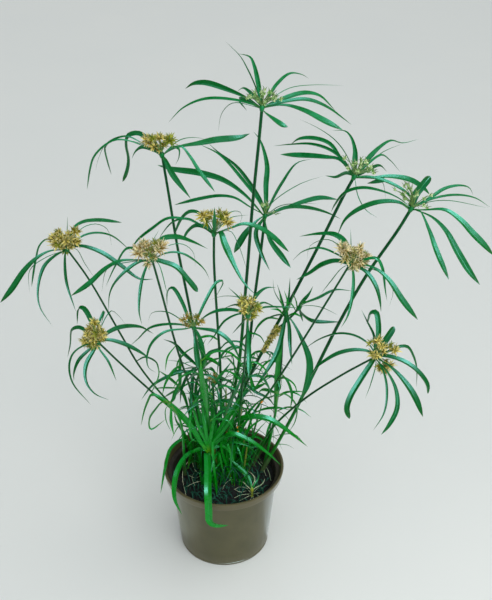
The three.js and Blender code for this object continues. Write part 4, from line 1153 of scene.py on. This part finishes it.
for name, (top, direction, points) in shoot_lines.items():
    form = new_form()
    bare = name == "4"
    add_swept(form, stations_along(points, 14),
              lambda t: round_section(SHOOT_FOOT_RADIUS - 0.9 * t, 12, 0.06), 0.6,
              finish=2 if bare else 0)
    add_whorl(form, SHOOTS[name][0], top, direction, SHOOT_LEAVES[name],
              "s" * len(SHOOT_LEAVES[name]), SHOOT_THREADS[name], shoot_dice,
              BARE_HUB_RADIUS if bare else HUB_RADIUS, 2 if bare else 0, 1 if bare else 0)
    shoot = make_piece("young_shoot_" + name, form, [shoot_green, root_pale, shoot_heart], 62)
    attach(shoot, "root")
    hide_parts("shoot_" + name)

# The foot leaves
# Long strap-shaped leaves that rise from the foot of the clump and fold over the pot's rim, bright
# green and shiny, creased where they bend.
FOOT_LEAF_STEPS = 56
# For each leaf: its width, its shape, where it leaves the soil, and for each point that it passes
# the pixel and how far behind the middle of the pot it lies.
FOOT_LEAVES = {
    "right": (11, (0.4, 0.6, 2.2, 1), (6, 15), [
        (235, 423, 0), (250, 417, -8), (268, 419, -14), (285, 429, -18), (308, 447, -20)]),
    "front": (12, (0.5, 0.72, 4, 1), (-31, -6), [
        (207, 452, -24), (208, 470, -62), (208, 492, -96), (209, 513, -109.5),
        (209.4, 520.5, -111.5), (212.5, 524, -113), (218, 525.4, -113.5), (228.5, 525.2, -114)]),
    "front_left": (10.5, (0.4, 0.7, 2.4, 1), (-36, 4), [
        (196, 451, -8), (184, 459, -34), (176, 477, -62), (175, 498, -78), (182, 515, -90)]),
    "left": (8.5, (0.4, 0.6, 2.2, 1), (-62, 26), [
        (190, 443, 14), (182, 440, 4), (171, 449, -10), (166, 466, -24), (160.5, 494, -34)]),
    "front_right": (9.5, (0.4, 0.55, 2, 1), (14, -8), [
        (222, 440, -24), (232, 434, -30), (250, 441, -34), (266, 452, -36), (282, 466, -38)]),
}


def follow(start, route):
    """A blade's points: its start, then each pixel of its route at the depth given with it."""
    return [start] + [seen_at_depth(pixel, depth) for *pixel, depth in route]


# The fourth colour is a painted sheen and the sixth is also painted shade.
leaf_green = blade_finish("bright_strap_leaf", shade(120, 176, 20), shade(2, 138, 10),
                          shade(30, 160, 40), shade(30, 164, 80), shade(50, 136, 50),
                          shade(0, 106, 6), 0.22)
for name, (width, shape, foot, route) in FOOT_LEAVES.items():
    form = new_form()
    add_blade(form, follow(rooted(foot, ROOTING_DEPTH / 2), route), width, 0.5, 0.0,
              FOOT_LEAF_STEPS, shape)
    leaf = make_piece("strap_leaf_" + name, form, [leaf_green], 62)
    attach(leaf, "root")
    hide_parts("leaf_" + name)

# The sheaths and the undergrowth
# Papery brown-green sheaths wrap each culm's foot. Between them stand spears of new culms and
# yellowed old stems, and narrow blades hang from the lower stems.
SHEATH_LIFT = 0.5
SHEATH_LENGTHS = (30, 58)
SHEATH_SIDES = 14
# Each spear's foot on the soil, the pixel and depth of its top, its foot's radius and its tint.
SPEARS = [
    ((-14, 18), (206, 402), 10, 2.6, 0.3), ((-30, 44), (193, 404), 40, 2.2, 0.4),
    ((2, 30), (226, 386), 20, 2.6, 0.9), ((16, 40), (243, 398), 30, 2.4, 0.95),
    ((0, 12), (216, 412), -6, 2.4, 0.5), ((-20, 8), (203, 428), -10, 2.4, 0.2),
    ((24, 14), (246, 426), 6, 2.2, 0.6), ((12, 2), (231, 424), -8, 2.4, 0.4),
    ((34, 30), (262, 404), 26, 2.2, 0.3), ((-40, 30), (186, 428), 20, 2.2, 0.5),
    ((-10, -2), (212, 436), -14, 2.2, 0.7), ((28, 2), (247, 446), -4, 2.2, 0.8),
    ((40, 16), (262, 440), 10, 2.0, 0.2), ((-2, 44), (224, 398), 44, 2.4, 0.1),
    ((18, 56), (249, 402), 60, 2.2, 0.2), ((-36, 60), (188, 396), 66, 2.2, 0.3),
]
# Each blade's width, the culm and pixel that it grows from, and the pixels that it passes, each
# with its depth, its tip last.
HANGING_BLADES = [
    (5, "12", (241, 400), [(245, 402, -6), (250, 412, -14), (251, 420, -18), (253, 435, -24),
                           (252, 450, -26), (248, 456, -28)]),
    (5, "09", (254, 413), [(265, 409, 2), (280, 408, -4), (290, 410, -8)]),
    (4.5, "11", (208, 420), [(212, 438, -24), (213, 458, -38), (216, 485, -46), (217, 500, -48)]),
    (7, "16", (200, 376), [(203, 368, 60), (206, 358, 52), (199, 346, 46)]),
    (4.5, "14", (286, 316), [(281, 300, -4), (279, 289, -8)]),
    (5, "14", (286, 316), [(287, 300, -6), (284, 290, -8)]),
    (4, "14", (286, 316), [(291, 302, -8), (294, 292, -12)]),
    (5, "14", (286, 318), [(278, 310, -6), (270, 309, -10)]),
    (4, "15", (298, 309), [(296, 300, 28), (292, 292, 24)]),
    (5, "15", (298, 310), [(303, 303, 30), (309, 301, 24)]),
    (4.5, "15", (297, 311), [(291, 304, 24), (283, 302, 18)]),
    (5, "14", (286, 318), [(295, 314, -8), (303, 318, -14)]),
    (3.5, "10", (164, 378), [(159, 372, -78), (155.5, 361, -80)]),
    (7, "06", (220, 366), [(212, 360, 10), (206, 358, 4), (214, 352, 2), (221, 349, 0)]),
    (4, "08", (193, 400), [(191, 414, -40), (190, 425, -44), (193, 440, -46), (212, 441, -40)]),
]
# Thin arching blades between the culms, given in the same way.
TANGLE = [
    (3.0, "02", (196, 345), [(186, 352, 50), (178, 362, 44), (176, 376, 40)]),
    (2.6, "08", (176, 345), [(168, 356, -52), (165, 372, -56)]),
    (3.6, "11", (200, 362), [(214, 352, -80), (228, 352, -74), (240, 362, -66), (246, 376, -60)]),
    (3.2, "11", (202, 375), [(192, 372, -70), (180, 378, -74), (172, 390, -76)]),
    (4.0, "06", (218, 340), [(210, 336, -4), (200, 338, 0), (194, 348, 4)]),
    (3.0, "06", (219, 350), [(228, 342, 0), (240, 342, 4), (248, 352, 8), (252, 366, 10)]),
    (4.0, "01", (241, 340), [(250, 333, 36), (260, 336, 32), (266, 346, 28)]),
    (3.0, "05", (248, 355), [(240, 348, 66), (230, 350, 62), (222, 360, 58)]),
    (3.5, "12", (245, 352), [(236, 346, -100), (226, 350, -98), (219, 362, -96), (217, 376, -94)]),
    (3.0, "12", (244, 368), [(254, 362, -84), (264, 368, -82), (270, 380, -80)]),
    (4.0, "03", (280, 318), [(268, 318, 70), (258, 326, 66), (252, 340, 62)]),
    (3.0, "15", (262, 352), [(270, 352, 42), (279, 360, 40), (284, 374, 38)]),
    (3.0, "15", (255, 366), [(246, 362, 46), (238, 368, 48), (232, 380, 50)]),
    (3.5, "14", (281, 365), [(272, 360, 20), (263, 366, 22), (257, 378, 24)]),
    (3.0, "14", (279, 380), [(270, 376, 24), (260, 382, 26), (252, 394, 28)]),
    (5.0, "01", (238, 375), [(246, 384, 44), (256, 392, 40), (268, 398, 36), (276, 408, 34)]),
    (4.0, "17", (214, 395), [(206, 392, -28), (198, 398, -30), (192, 410, -32), (190, 424, -34)]),
    (3.0, "17", (214, 390), [(224, 386, -30), (236, 390, -32), (244, 402, -34)]),
    (3.0, "02", (203, 388), [(194, 382, 56), (184, 386, 54), (176, 396, 52)]),
    (3.5, "06", (220, 372), [(230, 372, 16), (240, 380, 18), (246, 392, 20)]),
    (2.6, "16", (200, 372), [(214, 360, 70), (238, 357, 50), (247, 373, 40)]),
    (3.0, "17", (213, 386), [(222, 373, -40), (234, 369, -44), (243, 376, -48)]),
    (4.0, "16", (203, 396), [(210, 402, 60), (225, 396, 40), (234, 390, 30), (240, 381, 22)]),
    (3.0, "07", (136, 362), [(146, 357, 20), (156, 362, 24), (160, 374, 26)]),
    (8.0, "14", (283, 328), [(280, 350, 0), (277, 375, 4), (275, 400, 10), (273, 415, 12)]),
    (8.5, "11", (200, 358), [(202, 378, -78), (205, 398, -58), (209, 422, -38)]),
    (6.0, "16", (200, 372), [(196, 386, 70), (197, 402, 60), (201, 422, 40)]),
    (7.0, "15", (250, 376), [(254, 388, 40), (260, 386, 36), (268, 382, 32)]),
    (5.5, "12", (244, 372), [(238, 386, -96), (230, 402, -76), (222, 422, -48)]),
    (5.0, "02", (199, 365), [(190, 372, 46), (182, 388, 36), (180, 404, 28)]),
    (4.5, "08", (183, 365), [(174, 370, -52), (166, 382, -50), (162, 396, -46)]),
    (4.0, "08", (188, 380), [(198, 374, -60), (212, 376, -66), (222, 386, -66), (228, 400, -60)]),
    (5.0, "03", (258, 360), [(252, 366, 70), (244, 380, 60), (240, 398, 48), (238, 414, 36)]),
    (4.0, "09", (277, 381), [(286, 378, -60), (294, 384, -62), (298, 396, -60)]),
    (4.5, "14", (280, 372), [(288, 382, 14), (292, 396, 8), (290, 410, 4)]),
    (4.0, "05", (248, 360), [(256, 352, 66), (266, 352, 62), (274, 360, 58)]),
    (5.0, "06", (220, 384), [(212, 378, 10), (204, 382, 8), (198, 394, 4), (196, 408, 0)]),
    (4.5, "12", (243, 384), [(250, 376, -90), (260, 376, -86), (268, 386, -80), (272, 400, -72)]),
    (4.0, "01", (236, 388), [(228, 380, 40), (218, 382, 36), (210, 392, 32), (206, 406, 26)]),
]
# The fan: a young plant in front of the culms. Its leaves spread from one yellow-green joint on a
# short stem: each one's width, its shape, and the pixels that it passes with their depths.
FAN_JOINT = seen_at_depth((209, 453), -26)
FAN_FOOT = rooted((-23, -22), ROOTING_DEPTH / 2)
FAN_SLIM = (0.5, 0.4, 2, 1)
FAN_STEM_RADIUS = 3.4
FAN_LEAVES = [
    (9.5, (0.4, 0.6, 3, 1), [(202, 444, -27), (192, 428, -29), (179, 413, -32), (166, 402, -36),
                             (152, 394, -40)]),
    (5.5, FAN_SLIM, [(207, 438, -26), (204, 420, -24), (202, 400, -22), (199, 380, -20)]),
    (5.5, FAN_SLIM, [(210, 440, -26), (213, 425, -24), (217, 405, -22), (222, 386, -20)]),
    (6.5, FAN_SLIM, [(206, 436, -24), (207, 420, -20), (208, 400, -16), (206, 374, -12)]),
    (6, FAN_SLIM, [(211, 438, -23), (212, 424, -19), (212, 404, -14), (213, 380, -10)]),
    (5.5, FAN_SLIM, [(213, 440, -22), (217, 426, -17), (221, 410, -12), (227, 392, -8)]),
    (5, FAN_SLIM, [(204, 438, -24), (201, 422, -20), (197, 404, -16), (190, 384, -12)]),
    (8.5, (0.4, 0.5, 3, 1), [(213, 442, -25), (220, 430, -22), (230, 414, -18), (241, 398, -14),
                             (250, 385, -10)]),
    (5.5, FAN_SLIM, [(213, 442, -26), (222, 432, -27), (230, 422, -28), (238, 408, -28)]),
    (5, FAN_SLIM, [(205, 440, -27), (199, 428, -28), (194, 412, -28), (191, 396, -28)]),
    (8, (0.5, 0.5, 2, 1), [(213, 446, -25), (221, 438, -26), (238, 434, -30)]),
    (6, (0.6, 0.4, 2, 1), [(204, 449, -27), (196, 450, -22), (188, 456, -18)]),
    (5, (0.5, 0.5, 2, 1), [(212, 455, -29), (214, 470, -40), (216, 485, -44), (217, 500, -46)]),
    (5, (0.5, 0.5, 2, 1), [(214, 448, -24), (222, 446, -20), (230, 452, -20), (234, 462, -24)]),
]
# Leaves of the clump that rise from the soil: each one's width, its foot, and the pixels with
# their depths.
UNDERGROWTH = [
    (8, (-34, 24), [(205, 446, 0), (197, 434, -2), (186, 422, -10), (174, 410, -20),
                    (164, 398, -24)]),
    (7, (-2, 16), [(215, 442, -4), (228, 426, -2), (238, 411, 0), (246, 399, 2)]),
    (6.5, (-44, 24), [(198, 440, 0), (193, 424, -4), (190, 406, -8), (190, 392, -10)]),
    (7, (-20, 0), [(208, 448, -18), (213, 434, -18), (219, 420, -16), (226, 404, -14)]),
    (6.5, (4, 8), [(224, 444, -12), (230, 430, -12), (234, 414, -10), (236, 398, -8)]),
    (7, (18, 22), [(236, 440, 4), (242, 428, 4), (250, 416, 2), (262, 404, 0)]),
    (5, (-6, -6), [(219, 452, -22), (222, 466, -32), (225, 480, -40)]),
    (5, (6, -6), [(228, 444, -22), (231, 458, -32), (229, 478, -38)]),
    (4.5, (16, 0), [(236, 444, -12), (241, 456, -26), (243, 472, -32)]),
    (4.5, (26, 6), [(246, 446, -8), (254, 452, -14), (262, 462, -20)]),
    (4, (30, 24), [(252, 440, 10), (260, 428, 8), (268, 420, 6)]),
    (6, (-52, 36), [(186, 438, 24), (181, 428, 20), (176, 420, 14), (174, 410, 10)]),
    (7, (-26, 34), [(204, 430, 24), (200, 415, 22), (194, 400, 20), (186, 388, 18)]),
    (7, (14, 34), [(238, 428, 26), (247, 414, 24), (258, 402, 22), (270, 394, 20)]),
    (6, (-12, 24), [(214, 436, 14), (216, 420, 12), (212, 404, 10), (204, 392, 8)]),
    (6, (24, 20), [(244, 436, 6), (254, 424, 2), (266, 418, -2), (276, 420, -6)]),
]
# Stray young blades that arch out from the lower culms, most of them as thin as a thread.
STRAY_BLADES = 190
STRAY_CULMS = ["01", "02", "03", "05", "06", "08", "11", "12", "14", "15", "16", "17"]
STRAY_LEVELS = (150, 330)
STRAY_LENGTHS = (22, 75)
STRAY_WIDTHS = [1.2, 1.4, 1.6, 2.2, 3, 4]


def lifted(height):
    return Vector((0, 0, height))


sheath_dice = random.Random(12)
sheath_form = new_form()
for name, (_, _, points) in [*culm_lines.items(), *shoot_lines.items()]:
    foot_radius = culm_radius(name, 0) if name in CULM_TOPS else SHOOT_FOOT_RADIUS
    whole = line_length(points)
    length = min(sheath_dice.uniform(*SHEATH_LENGTHS), whole * 0.5)
    lean, tint = sheath_dice.uniform(0, 2 * math.pi), sheath_dice.random()

    def sleeve(t):
        radius = foot_radius + SHEATH_LIFT + 0.4 * (1 - t) ** 3
        radius -= (SHEATH_LIFT + 0.7) * max(t - 0.8, 0) * 5
        turns = [2 * math.pi * k / SHEATH_SIDES for k in range(SHEATH_SIDES)]
        return [(radius * math.cos(turn) * (1 + 0.05 * math.cos(turn - lean)),
                 radius * math.sin(turn), math.cos(turn)) for turn in turns]

    add_swept(sheath_form, stations_along(points, 10, length / whole), sleeve, tint)
sheath_paper = new_finish("papery_sheath", Roughness=0.6)
sheath_fibres = grain(sheath_paper, 1.3, (1, 1, 0.05))
sheath_colour = coat(
    sheath_paper, shade(86, 80, 36), (mark(sheath_paper, "along"), shade(50, 110, 40)),
    (times(sheath_paper, mark(sheath_paper, "tint"), 0.7), shade(36, 104, 38)),
    (fade(sheath_paper, sheath_fibres, 0.42, 0.6, 0, 0.4), shade(74, 60, 30)))
dress(sheath_paper, sheath_colour, None, sheath_fibres, 0.3, 0.6)
sheaths = make_piece("culm_sheaths", sheath_form, [sheath_paper], 70)
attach(sheaths, "root")

spear_form = new_form()
for foot, pixel, depth, radius, tint in SPEARS:
    root, tip = rooted(foot, 6), seen_at_depth(pixel, depth)
    bow = root.lerp(tip, 0.5)
    bow += Vector((sheath_dice.uniform(-2, 2), sheath_dice.uniform(-2, 2), 0))
    add_swept(spear_form, stations_along([root, bow, tip], 22),
              lambda t: round_section(radius * (1 - 0.35 * t - 0.3 * t ** 6), 10, 0.05), tint,
              True)
spear_green = new_finish("old_and_new_stems", Roughness=0.45)
spear_streaks = grain(spear_green, 1.4, (1, 1, 0.05))
spear_colour = coat(
    spear_green,
    ramp(spear_green, mark(spear_green, "tint"), [
        (0.0, shade(14, 108, 30)), (0.5, shade(44, 126, 36)), (0.75, shade(112, 142, 40)),
        (1.0, shade(146, 146, 56))]),
    (fade(spear_green, mark(spear_green, "along"), 0, 0.2, 0.8, 0), shade(128, 108, 58)),
    (fade(spear_green, spear_streaks, 0.45, 0.7, 0, 0.4), shade(28, 70, 26)))
dress(spear_green, spear_colour, None, spear_streaks, 0.25, 0.5)
spears = make_piece("stem_spears", spear_form, [spear_green], 80)
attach(spears, "root")

hanging_form = new_form()
for width, name, pixel, route in HANGING_BLADES:
    points = follow(point_on_culm(name, pixel), route)
    add_blade(hanging_form, points, width, sheath_dice.random(), 0.2, 24)
for width, name, pixel, route in TANGLE:
    points = follow(point_on_culm(name, pixel), route)
    add_blade(hanging_form, points, width, sheath_dice.random(), 0.4, 22, side=open_side(points),
              finish=sheath_dice.choice([0, 0, 1, 2]))
for width, foot, route in UNDERGROWTH:
    points = follow(rooted(foot, ROOTING_DEPTH / 2), route)
    add_blade(hanging_form, points, width, sheath_dice.random(), 0.0, 28, side=open_side(points))
add_swept(hanging_form, stations_along([FAN_FOOT, FAN_JOINT], 12),
          lambda t: round_section(FAN_STEM_RADIUS * (1.2 - 0.35 * t), 12, 0.05), 0.5)
for width, shape, route in FAN_LEAVES:
    points = follow(FAN_JOINT, route)
    add_blade(hanging_form, points, width, sheath_dice.random(),
              sheath_dice.uniform(-0.6, 0.6), 32, shape, open_side(points))
stray_dice = random.Random(29)
for _ in range(STRAY_BLADES):
    level = stray_dice.uniform(*STRAY_LEVELS)
    line = stations_along(culm_lines[stray_dice.choice(STRAY_CULMS)][2], 80)
    start = min((point for point, _ in line), key=lambda point: abs(point.z - level))
    turn, length = stray_dice.uniform(0, 2 * math.pi), stray_dice.uniform(*STRAY_LENGTHS)
    out = Vector((math.cos(turn), math.sin(turn), 0)) * length
    lift = stray_dice.uniform(0.1, 0.7) * length
    points = [start, start + out * 0.35 + lifted(lift * 0.8),
              start + out * 0.72 + lifted(lift * 0.75),
              start + out + lifted(lift * 0.5 - length * stray_dice.uniform(0, 0.4))]
    add_blade(hanging_form, points, stray_dice.choice(STRAY_WIDTHS), stray_dice.random(), 0.3, 14,
              side=open_side(points), finish=stray_dice.choice([0, 0, 1, 1, 2]))
hanging = make_piece("undergrowth_blades", hanging_form,
                     [leaf_green, bract_green, shoot_green], 62)
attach(hanging, "root")

# The seedlings
# Fine dark green blades of self-sown seedlings, which cover the compost between the culms and
# towards the front of the pot.
SEEDLINGS = 420
SEEDLING_BED = (2, -16, 70)
SEEDLING_LENGTHS = (9, 19)
SEEDLING_WIDTHS = (1, 2.2)
BARE_EDGE = 6
TALL_SEEDLINGS = 150
TALL_SEEDLING_HEIGHTS = (16, 52)
TALL_SEEDLING_WIDTHS = (1.3, 3)
seedling_form = new_form()
seedling_dice = random.Random(17)
for _ in range(SEEDLINGS):
    reach = SEEDLING_BED[2] * seedling_dice.random() ** 0.6
    turn = seedling_dice.uniform(0, 2 * math.pi)
    x, y = SEEDLING_BED[0] + reach * math.cos(turn), SEEDLING_BED[1] + reach * math.sin(turn)
    way = Vector([seedling_dice.uniform(-1, 1) for _ in "xy"] + [seedling_dice.uniform(0.1, 1.1)])
    way *= seedling_dice.uniform(*SEEDLING_LENGTHS)
    if max(math.hypot(x, y), math.hypot(x + way.x, y + way.y)) < SOIL_RADIUS - BARE_EDGE:
        root = Vector((x, y, soil_height(x, y) - 1))
        arch = root + way * 0.5 + lifted(seedling_dice.uniform(2, 6))
        add_blade(seedling_form, [root, arch, root + way],
                  seedling_dice.uniform(*SEEDLING_WIDTHS), seedling_dice.random(), 0.3, 8)
for _ in range(TALL_SEEDLINGS):
    x, y = seedling_dice.uniform(-38, 40), seedling_dice.uniform(-30, 34)
    root = Vector((x, y, soil_height(x, y) - 1))
    lean = Vector((seedling_dice.uniform(-1, 1), seedling_dice.uniform(-1, 0.6), 0))
    rise = seedling_dice.uniform(*TALL_SEEDLING_HEIGHTS)
    points = [root, root + lean * (0.2 * rise) + lifted(0.7 * rise),
              root + lean * (0.55 * rise) + lifted(rise),
              root + lean * (0.95 * rise) + lifted(rise * seedling_dice.uniform(0.5, 0.95))]
    add_blade(seedling_form, points, seedling_dice.uniform(*TALL_SEEDLING_WIDTHS),
              seedling_dice.random(), 0.3, 12, side=open_side(points),
              finish=seedling_dice.choice([0, 1, 1]))
# The fourth colour is a painted sheen and the sixth is also painted shade.
seedling_green = blade_finish("dark_seedling_green", shade(30, 70, 24), shade(4, 66, 34),
                              shade(10, 92, 50), shade(20, 98, 62), shade(24, 90, 40),
                              shade(2, 44, 20), 0.62)
seedlings = make_piece("compost_seedlings", seedling_form, [seedling_green, leaf_green], 62)
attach(seedlings, "root")

# The roots and strands
# Fine pale roots and dry strands that lie on the compost and loop above it, each as thin as a
# thread, with a few orange-brown scraps of old sheath caught between the stems.
SCRAP_WIDTH = 4
STRAND_RADIUS = 0.55
# Each strand's pixels, and how high it loops above the soil.
STRANDS = [
    ([(195, 455), (187, 463), (183, 470), (183, 482), (186, 495)], 9),
    ([(202, 481), (194, 483), (184, 488)], 6), ([(196, 470), (192, 478), (195, 486)], 5),
    ([(261, 462), (268, 470), (271, 481)], 7),
    ([(192, 456), (193, 465), (197, 472), (203, 474)], 5),
    ([(240, 480), (246, 484), (249, 488)], 4), ([(246, 491), (240, 492), (234, 489)], 3),
    ([(250, 494), (241, 495), (234, 498)], 3), ([(251, 495), (245, 498), (239, 501)], 2),
    ([(251, 493), (246, 488), (240, 487), (233, 490)], 5),
    ([(253, 494), (260, 493), (265, 495)], 3), ([(254, 492), (258, 488), (263, 488)], 4),
    ([(252, 496), (250, 500), (246, 502)], 1), ([(253, 495), (253, 498), (254, 500)], 2),
    ([(256, 494), (259, 496), (262, 497)], 3),
    ([(252, 486), (255, 478), (252, 474), (246, 470)], 8),
    ([(228, 452), (233, 456), (239, 458)], 12),
    ([(240, 480), (230, 480), (224, 486), (222, 492)], 4),
    ([(255, 488), (262, 484), (265, 479)], 5), ([(258, 462), (263, 468), (266, 476)], 6),
    ([(248, 461), (243, 464), (236, 463)], 8), ([(214, 462), (216, 470), (215, 480)], 4),
    ([(188, 475), (196, 478), (200, 476)], 3), ([(230, 470), (236, 474), (237, 482)], 5),
]
# The culm on which each scrap has caught, and its pixel.
SCRAPS = [("12", (239, 427)), ("12", (239, 431)), ("08", (199, 432)), ("08", (198, 436)),
          ("07", (190, 441)), ("09", (262, 404))]
strand_form = new_form()
strand_dice = random.Random(2)
for pixels, loop in STRANDS:
    points = []
    for k, pixel in enumerate(pixels):
        rise = loop * math.sin(math.pi * k / (len(pixels) - 1)) + 0.4
        spot = seen_at_height(pixel, SOIL_LEVEL + rise)
        spot = seen_at_height(pixel, soil_height(spot.x, spot.y) + rise)
        points.append(spot)
    add_swept(strand_form, stations_along(points, 18),
              lambda t: round_section(STRAND_RADIUS - 0.25 * t, 6), strand_dice.random())
for name, pixel in SCRAPS:
    start = point_on_culm(name, pixel) + Vector((0, -culm_radius(name, 0.2), 0))
    curl = Vector((strand_dice.uniform(-5, 5), -3, strand_dice.uniform(-2, 6)))
    add_blade(strand_form, [start, start + curl * 0.6 + lifted(2), start + curl], SCRAP_WIDTH,
              strand_dice.random(), 0.8, 8, side=Vector((0.4, 0, 1)), finish=1)
rusty_scrap = new_finish("rusty_sheath_scrap", Roughness=0.7, Specular_IOR_Level=0.2)
rust_share = fade(rusty_scrap, grain(rusty_scrap, 1.2), 0.35, 0.65)
dress(rusty_scrap, mix(rusty_scrap, rust_share, shade(222, 96, 20), shade(240, 176, 60)), None,
      grain(rusty_scrap, 0.6), 0.2, 0.6)
strands = make_piece("fine_roots", strand_form, [root_pale, rusty_scrap], 80)
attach(strands, "root")

# The floor, the light and the camera
# A seamless pale sweep under soft studio light, seen from above at the photograph's angle. A
# softbox and two cards beside the pot show only as the shine on the leaves and the plastic.
FLOOR_HALF = 9
floor_mesh = bpy.data.meshes.new("studio_floor")
floor_mesh.from_pydata([(x * FLOOR_HALF, y * FLOOR_HALF, 0)
                        for x, y in ((-1, -1), (1, -1), (1, 1), (-1, 1))], [], [(0, 1, 2, 3)])
floor_paper = new_finish("pale_paper", Roughness=0.9, Specular_IOR_Level=0.2)
dress(floor_paper,
      mix(floor_paper, grain(floor_paper, 300), shade(225, 229, 228), shade(229, 232, 230)))
floor_mesh.materials.append(floor_paper)
studio_floor = bpy.data.objects.new("studio_floor", floor_mesh)
bpy.context.scene.collection.objects.link(studio_floor)

room = bpy.data.worlds.new("studio_room")
bpy.context.scene.world = room
room.use_nodes = True
room.node_tree.nodes["Background"].inputs["Color"].default_value = (0.955, 0.98, 0.985, 1)
room.node_tree.nodes["Background"].inputs["Strength"].default_value = 0.56
room.cycles_visibility.glossy = False
for name, place, aim, kind, size, power, colour in [
        ("key_light", (2.0, 0.3, 2.4), (0, 0, 0), "SUN", 1.1, 0.62, (1.0, 0.99, 0.96)),
        ("gloss_softbox", (0.7, -1.3, 1.9), (0.05, -0.1, 0.3), "AREA", 1.2, 88,
         (0.66, 0.92, 0.96)),
        ("gloss_card", (0.27, 0.2, 0.003), (0.27, 0.2, 1), "AREA", 0.42, 0.45, (0.8, 0.94, 1.0)),
        ("gloss_left_card", (-0.2, 0, 0.003), (-0.2, 0, 1), "AREA", 0.22, 0.05, (0.86, 1.0, 0.88)),
        ("back_softbox", (0.1, 1.5, 1.9), (0, 0.2, 0.4), "AREA", 0.7, 2, (0.88, 0.97, 1.0)),
        ("front_softbox", (0.7, -1.3, 1.3), (0.2, 0.0, 0), "AREA", 1.2, 12, (1.0, 1.0, 0.98)),
        ("side_light", (-1.3, -2.2, 2.0), (0, 0, 0), "SUN", 1.2, 0.3, (0.97, 0.99, 1.0))]:
    lamp = bpy.data.lights.new(name, kind)
    lamp.energy, lamp.color = power, colour
    if kind == "SUN":
        lamp.angle = size
    else:
        lamp.size = size
    light = bpy.data.objects.new(name, lamp)
    light.visible_diffuse = not name.startswith("gloss")
    light.location = place
    light.rotation_euler = (Vector(aim) - Vector(place)).to_track_quat("-Z", "Y").to_euler()
    bpy.context.scene.collection.objects.link(light)

SENSOR = 36
PICTURE_HEIGHT = 600
lens = bpy.data.cameras.new("camera")
lens.sensor_width = SENSOR
lens.lens = FOCAL_PIXELS / PICTURE_HEIGHT * SENSOR
lens.clip_end = 100
camera = bpy.data.objects.new("camera", lens)
camera.location = EYE * MM
camera.rotation_euler = (math.pi / 2 - LOOKING_DOWN, 0, 0)
bpy.context.scene.collection.objects.link(camera)
bpy.context.scene.camera = camera
bpy.context.scene.view_settings.view_transform = "Standard"
